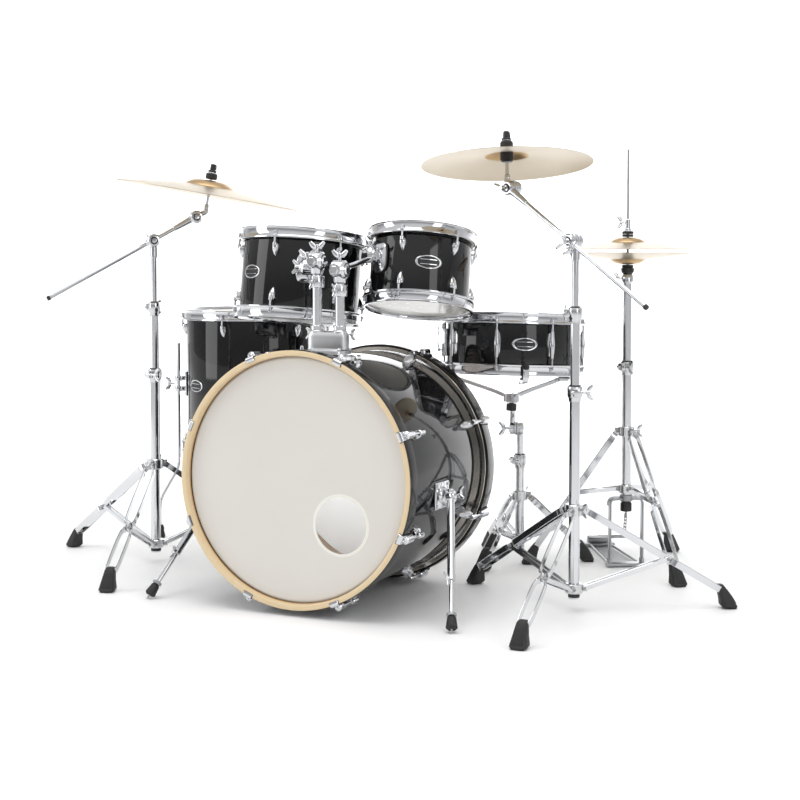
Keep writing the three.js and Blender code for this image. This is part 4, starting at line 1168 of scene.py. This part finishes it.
# ---- Snare drum fittings ----
def snare_fittings():
    put = SNARE.place @ yaw(-90)
    back = SNARE.place @ yaw(90)
    r = SNARE.radius
    body, lever, butt, strap, ends = (Shape() for _ in range(5))
    body.block((10, 32, 72), put @ shift(r + 4), 3)
    body.block((8, 24, 34), put @ shift(r + 11, 0, -20), 3)
    body.rod(put @ Vector((r + 9, 0, 34)), put @ Vector((r + 9, 0, 50)), 5.6, 28, 1.5)
    body.screws(put, r + 8, r + 11, 3.6, 1.2, ((0, -31), (0, 31)))
    settle(body.turn_into("snare_strainer_body", CASTING), "snare_drum", "snare_shell")
    pivot = put @ Vector((r + 22, 0, -20))
    side = put.to_3x3() @ Vector((0, 1, 0))
    lever.boss(pivot, side, 5, 28, 28, 1.4)
    path = [put @ Vector((r + o, 0, z)) for o, z in ((22, -20), (24.5, -4), (25.5, 14), (24, 30), (25.5, 40))]
    lever.sweep(curve(path, 5), lambda t: flat(12 + 3 * t, 4, 1.4), side=side)
    settle(lever.turn_into("snare_lever", CHROME), "strainer_lever", "snare_strainer_lever")
    butt.block((8, 28, 42), back @ shift(r + 3.5, 0, -8), 3)
    butt.block((6, 24, 14), back @ shift(r + 9.5, 0, -18), 2)
    butt.screws(back, r + 11, r + 15, 3.2, 1.2, ((-8, -18), (8, -18)))
    settle(butt.turn_into("snare_butt_plate", CASTING), "snare_drum", "snare_shell")
    under = -SNARE.half - 3.2
    for matrix in (put, back):
        path = [matrix @ Vector((x, 0, z)) for x, z in (
            (r - 38, under), (r - 6, under - 0.3), (r + 3.4, under + 4), (r + 7.2, -44), (r + 7.4, -30))]
        strap.sweep(curve(path, 4), flat(20, 0.7, 0.2), side=matrix.to_3x3() @ Vector((0, 1, 0)))
        ends.block((9, 44, 1.6), matrix @ shift(r - 42, 0, under), 0.6)
    settle_each("snare", "snare_drum", "snare_resonant_head", Matrix(),
                ("straps", strap, PLASTIC), ("wire_plates", ends, STEEL))
    coil, span = Shape(), 2 * (r - 44)
    steps = int(span / 3.4) * 6
    path = [(-span / 2 + span * i / steps, 0.9 * cos(pi * i / 3), 0.9 * sin(pi * i / 3))
            for i in range(steps + 1)]
    coil.sweep(path, circle(0.34, 4))
    mesh = grown(CHAIN, coil, Count=20, Start=Vector((0, -19, 0)), Step=Vector((0, 2, 0)), Tilt=Vector(),
                 Material=STEEL.material)
    settle(finished("snare_wires", mesh, STEEL, put @ shift(0, 0, under)), "snare_drum", "snare_resonant_head")


snare_fittings()


# ---- Hi-hat ----
def hi_hat():
    base, ahead, across = Vector((526, 845, 0)), polar(1, 122), polar(1, 32)
    place = Matrix.Translation(base)
    out = lambda forward, sideways, z: ahead * forward + across * sideways + UP * z
    tripod("hihat", "kit", "hihat_stand", base, -43, 252, 355, 205, 0.52, bow=9)
    tube_stage("hihat_lower", "kit", "hihat_stand", base, LOWER_TUBE, 176, 512, 525, 19, -110, 1)
    frame, plate, grip, tube, cup, felts, pull, clutch, soft = (Shape() for _ in range(9))
    for sign in (-1, 1):
        frame.block((5, 20, 164), yaw(32) @ shift(sign * 43, 0, 88), 1.6)
        frame.boss(out(0, sign * 43, 14), across, 11, 9, 32, 2)
    top_bar = ((-45.5, 160), (-43, 172), (-34, 179), (0, 180), (34, 179), (43, 172), (45.5, 160))
    frame.sweep(curve([out(0, x, z) for x, z in top_bar], 5), [(v, u) for u, v in flat(20, 5, 1)])
    frame.rod((0, 0, 172), (0, 0, 190), 17, 40, 2)
    frame.block((104, 26, 8), yaw(32) @ shift(0, 0, 6), 2)
    for sign in (-1, 1):
        frame.rod(out(0, sign * 40, 6), out(286, sign * 26, 8), 3, 16)
    plate.block((62, 84, 9), yaw(122) @ shift(292, 0, 7), 3.5)
    plate.block((18, 60, 17), yaw(122) @ shift(292, 0, 14), 3)
    grip.turned([(9.9, 0), (14, 0), (15, 2), (15, 20), (12.6, 24), (9.9, 24)], 36, shift(0, 0, 146), ring=True)
    settle_each("hihat", "kit", "hihat_stand", place, ("frame", frame, STEEL), ("heel_plate", plate, STEEL),
                ("tube_end", grip, PLASTIC))
    edge, gap, rise = 824, 10, 30
    seat = edge - gap / 2 - rise
    tube.turned([(9.8, 330), (MIDDLE_TUBE, 330), (MIDDLE_TUBE, seat - 50), (9.8, seat - 50)], 40, ring=True)
    tube.turned(beside(0, seat, [(4.8, -50), (MIDDLE_TUBE, -50), (14, -46), (15.6, -44), (15.6, -30),
                                 (13, -26), (7, -24), (4.8, -24)]), 40, ring=True)
    tube.wing_bolt(polar(15, 210, seat - 36), polar(1, 210), UP, 0.85)
    cup.turned(beside(0, seat, [(5, -25), (12, -25), (16.4, -20), (17, -14), (17, -9), (5, -9)]),
               44, ring=True)
    felts.turned(beside(0, seat, [(5, -8.8), (13, -8.8), (14.6, -7.4), (14.6, -2), (13.4, -0.8), (5, -0.6)]),
                 44, ring=True)
    settle_each("hihat", "hihat_riser", "hihat_upper_tube", place, ("riser_tube", tube, CHROME),
                ("seat_cup", cup, PLASTIC), ("seat_felt", felts, FELT))
    low, high = base + UP * (edge - gap / 2), base + UP * (edge + gap / 2)
    pull.rod((0, 0, 128), (0, 0, 1086.5), 3.0, 20, 1.2)
    top = high.z + rise
    clutch.rod((0, 0, top - 20), (0, 0, top - 15), 9.5, 6, 1)
    clutch.rod((0, 0, top + 15.4), (0, 0, top + 17.4), 12.5, 36, 0.6)
    clutch.rod((0, 0, top + 17), (0, 0, top + 24), 9, 28, 2)
    clutch.rod((0, 0, top + 23), (0, 0, top + 47), 7.2, 30, 1.6)
    clutch.wing_bolt(polar(6, 215, top + 39), polar(1, 215), UP, 0.9)
    for z, bevel in ((1, 1.4), (8.4, 1.2)):
        washer = [(4, 0), (13.6, 0), (14.8, bevel), (14.8, 5.6), (13.6, 6.8), (4, 6.8)]
        soft.turned(beside(0, top + z, washer), 40, ring=True)
    settle_each("hihat", "hihat_rod", "hihat_pull_rod", place, ("pull_rod_piece", pull, STEEL),
                ("clutch_piece", clutch, CHROME), ("clutch_felts_piece", soft, FELT))
    cymbal("hihat_top", "hihat_rod", "hihat_top_cymbal", 7 * INCH, rise, Matrix.Translation(high), 5)
    cymbal("hihat_bottom", "hihat_riser", "hihat_bottom_cymbal", 7 * INCH, rise,
           Matrix.Translation(low) @ OVER)
    return place, out, across


def footboard(name, body, node, heel, toe, width, across, matrix=Matrix()):
    """A ribbed board that narrows a little to its heel, with its hinge block."""
    board, hinge, rib = Shape(), Shape(), Shape()
    heel, toe = Vector(heel), Vector(toe)
    way = (toe - heel).normalized()
    up = across.cross(way)
    up = up if up.z > 0 else -up
    rows = []
    for t, w in ((0.0, 0.36), (0.03, 0.42), (0.2, 0.44), (0.6, 0.5), (0.94, 0.5), (0.985, 0.44), (1.0, 0.34)):
        p, half = heel.lerp(toe, t), width * w
        right = beside(half, 0, [(0, -2.6), (0, 1.4), (0, 3.4), (-2.5, 3.4), (-3, 1.8)])
        left = [(-u, v) for u, v in reversed(right[1:])]
        rows.append([p + across * u + up * v for u, v in [(-half, -2.6), *right, *left]])
    board.skin(rows)
    length = (toe - heel).length
    rib.block((width * 0.74, 4.2, 2.4), Matrix(), 0.8)
    basis = Matrix((across, way, up)).transposed().to_4x4()
    mesh = grown(CHAIN, rib, Count=13, Start=heel + way * length * 0.16 + up * 2.2, Step=way * length * 0.058,
                 Tilt=Vector(basis.to_euler()), Material=RUBBER.material)
    settle(finished(f"{name}_grip_ribs", mesh, RUBBER, matrix), body, node)
    hinge.boss(heel, across, 4.6, width * 0.9, 28, 1)
    settle(board.turn_into(f"{name}_plate", STEEL, matrix, bevel=0.6), body, node)
    settle(hinge.turn_into(f"{name}_hinge_pin", CHROME, matrix), body, node)


hat_place, hat_out, hat_across = hi_hat()
footboard("hihat_footboard", "hihat_pedal", "hihat_footboard", hat_out(292, 0, 24), hat_out(28, 0, 72), 68,
          hat_across, hat_place)


# ---- Kick pedal ----
def kick_pedal():
    y, shaft_z, half = 515, 205, 52
    shaft, wide = Vector((0, y + 24, shaft_z)), Vector((1, 0, 0))
    frame, clamp = Shape(), Shape()
    frame.block((112, 60, 9), shift(0, y + 15, 5.2), 3)
    frame.block((40, 275, 5), shift(0, y + 137, 4), 1.6)
    frame.block((84, 46, 11), shift(0, 790, 7), 3)
    for sign in (-1, 1):
        rows = []
        for z, w in ((8, 17), (40, 13), (130, 10), (shaft_z - 14, 12), (shaft_z + 4, 13), (shaft_z + 12, 7)):
            rows.append([Vector((sign * half + u, shaft.y + v, z))
                         for u, v in ((-5, -w), (5, -w), (5, w), (-5, w))])
        frame.skin(rows)
        frame.boss((sign * half, shaft.y, shaft_z), wide, 10.5, 16, 36, 1.6)
    clamp.block((42, 20, 13), shift(0, y - 4, 16), 3)
    clamp.block((34, 18, 8), shift(0, y - 4, 33), 2.5)
    clamp.rod((0, y - 2, 16), (0, y - 2, 44), 4, 24)
    clamp.wing_bolt((0, y - 2, 40), UP, wide, 1.0)
    settle(frame.turn_into("kick_pedal_base_and_posts", STEEL, bevel=1.0), "kit", "kick_pedal_frame")
    settle(clamp.turn_into("kick_pedal_hoop_clamp", CASTING), "kit", "kick_pedal_frame")
    lean = radians(42)
    swing = lambda length: shaft + Vector((0, sin(lean), cos(lean))) * length
    hub, felt_head, cap = Shape(), Shape(), Shape()
    hub.boss(shaft, wide, 6, 2 * half - 14, 6, 0.8)
    hub.boss(shaft, wide, 15, 22, 40, 2)
    for x in (-8, 8):
        hub.boss(shaft + wide * x, wide, 25, 3, 48, 0.8)
    hub.boss(shaft, wide, 20, 14, 24, 1.0)
    hub.rod(swing(-8), swing(184), 3.2, 24)
    hub.boss(swing(14), wide, 9, 16, 30, 2)
    head = swing(190)
    felt_head.boss(head, wide, 23.5, 36, 48, 6)
    for x in (-19.5, 19.5):
        cap.boss(head + wide * x, wide, 8, 2.4, 30, 0.8)
    cap.rod(swing(164), swing(170), 6, 26, 1.5)
    settle_each("kick_beater", "kick_beater", "kick_pedal_beater", Matrix(), ("shaft", hub, CHROME),
                ("felt", felt_head, FELT), ("caps", cap, STEEL))
    footboard("kick_footboard", "kick_pedal", "kick_pedal_footboard", (0, 790, 22), (0, y + 52, 84), 74, wide)


kick_pedal()


def drive_chain(name, low, high, width):
    """A roller chain: pairs of side plates with rollers between, from the board up to its pull."""
    low, high = Vector(low), Vector(high)
    link = Shape()
    for x in (-width / 2, width / 2):
        link.block((1.2, 5.2, 11), shift(x), 0.5)
    for z in (4, -4):
        link.rod((-width / 2, 0, z), (width / 2, 0, z), 2.2, 12, 0.4)
    count = round((high - low).length / 8)
    mesh = grown(CHAIN, link, Count=count, Start=low, Step=(high - low) / (count - 1),
                 Tilt=Vector(UP.rotation_difference(high - low).to_euler()), Material=STEEL.material)
    chain = finished(name, mesh, STEEL)
    TO_FRAME @ low
    TO_FRAME @ high
    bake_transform(chain)


drive_chain("kick_chain", (0, 563.5, 92), (0, 563.5, 205), 8)
drive_chain("hihat_chain", hat_place @ hat_out(14, 0, 80), hat_place @ hat_out(2, 0, 134), 6)


# ---- Floor, lights and camera ----
def stage():
    f = Finish("pale_floor", "coated_head")
    f.feed("Base Color", f.blend(f.noise(0.6, 3), (0.90, 0.90, 0.90), (0.93, 0.93, 0.93)))
    f.feed("Roughness", f.between(f.noise(8, 3), 0.55, 0.7))
    shape, sweep = Shape(), [(-60, 0), (3.4, 0), (4.4, 0.12), (5.2, 0.6), (5.6, 1.5), (5.7, 7)]
    shape.skin([[Vector((x, y, z)) * 1000 - UP * 0.5 for x in (-60, 60)] for y, z in sweep], around=False)
    mesh = bpy.data.meshes.new("floor")
    shape.mesh.to_mesh(mesh)
    shape.mesh.free()
    mesh.transform(Matrix.Scale(0.001, 4))
    mesh.polygons.foreach_set("use_smooth", [True] * len(mesh.polygons))
    mesh.materials.append(f.material)
    floor = bpy.data.objects.new("floor", mesh)
    bpy.context.scene.collection.objects.link(floor)


def soft_box(name, at, target, size, power):
    light = bpy.data.lights.new(name, "AREA")
    light.shape, light.size, light.size_y, light.energy = "RECTANGLE", size[0], size[1], power
    obj = bpy.data.objects.new(name, light)
    obj.location = at
    obj.rotation_euler = (Vector(target) - Vector(at)).to_track_quat("-Z", "Y").to_euler()
    bpy.context.scene.collection.objects.link(obj)


stage()
soft_box("overhead", (0.2, -0.6, 3.4), (0, 0, 0.4), (3.0, 2.6), 62)
soft_box("left_wall", (-3.2, -2.2, 1.5), (0, 0, 0.6), (1.6, 2.6), 30)
soft_box("front_right", (3.9, -2.6, 1.9), (0, 0, 0.6), (1.4, 2.4), 22)
soft_box("backdrop_wash", (-2.6, 2.6, 3.4), (-3.0, 5.0, 0.9), (8.0, 1.2), 330)


def studio():
    """A room that is bright overhead, greyer to the sides and darkest low down."""
    world = bpy.data.worlds.new("studio")
    world.use_nodes = True
    graph = Graph(world.node_tree)
    height = graph.node("ShaderNodeSeparateXYZ", None, {
        0: graph.node("ShaderNodeTexCoord", out=0)}, out=2)
    colour = graph.node("ShaderNodeValToRGB", {"stops": [
        (0.0, (0.30, 0.30, 0.31)), (0.47, (0.42, 0.42, 0.43)), (0.54, (0.40, 0.40, 0.41)),
        (0.72, (0.95, 0.95, 0.96)), (1.0, (1.0, 1.0, 1.0))]}, {0: height * 0.5 + 0.5})
    background = world.node_tree.nodes["Background"]
    world.node_tree.links.new(colour.socket, background.inputs["Color"])
    background.inputs["Strength"].default_value = 0.8
    bpy.context.scene.world = world


studio()
bpy.context.scene.view_settings.view_transform = "Standard"

lens = bpy.data.cameras.new("camera")
lens.lens, lens.sensor_width = 68.9, 36
lens.clip_start, lens.clip_end = 0.05, 60
lens.shift_y = -0.1
eye = bpy.data.objects.new("camera", lens)
pitch = 2.6
eye.location = (1.7037, -3.5357, 0.825)
eye.rotation_euler = (radians(90 - pitch), 0, radians(25.0))
bpy.context.scene.collection.objects.link(eye)
bpy.context.scene.camera = eye
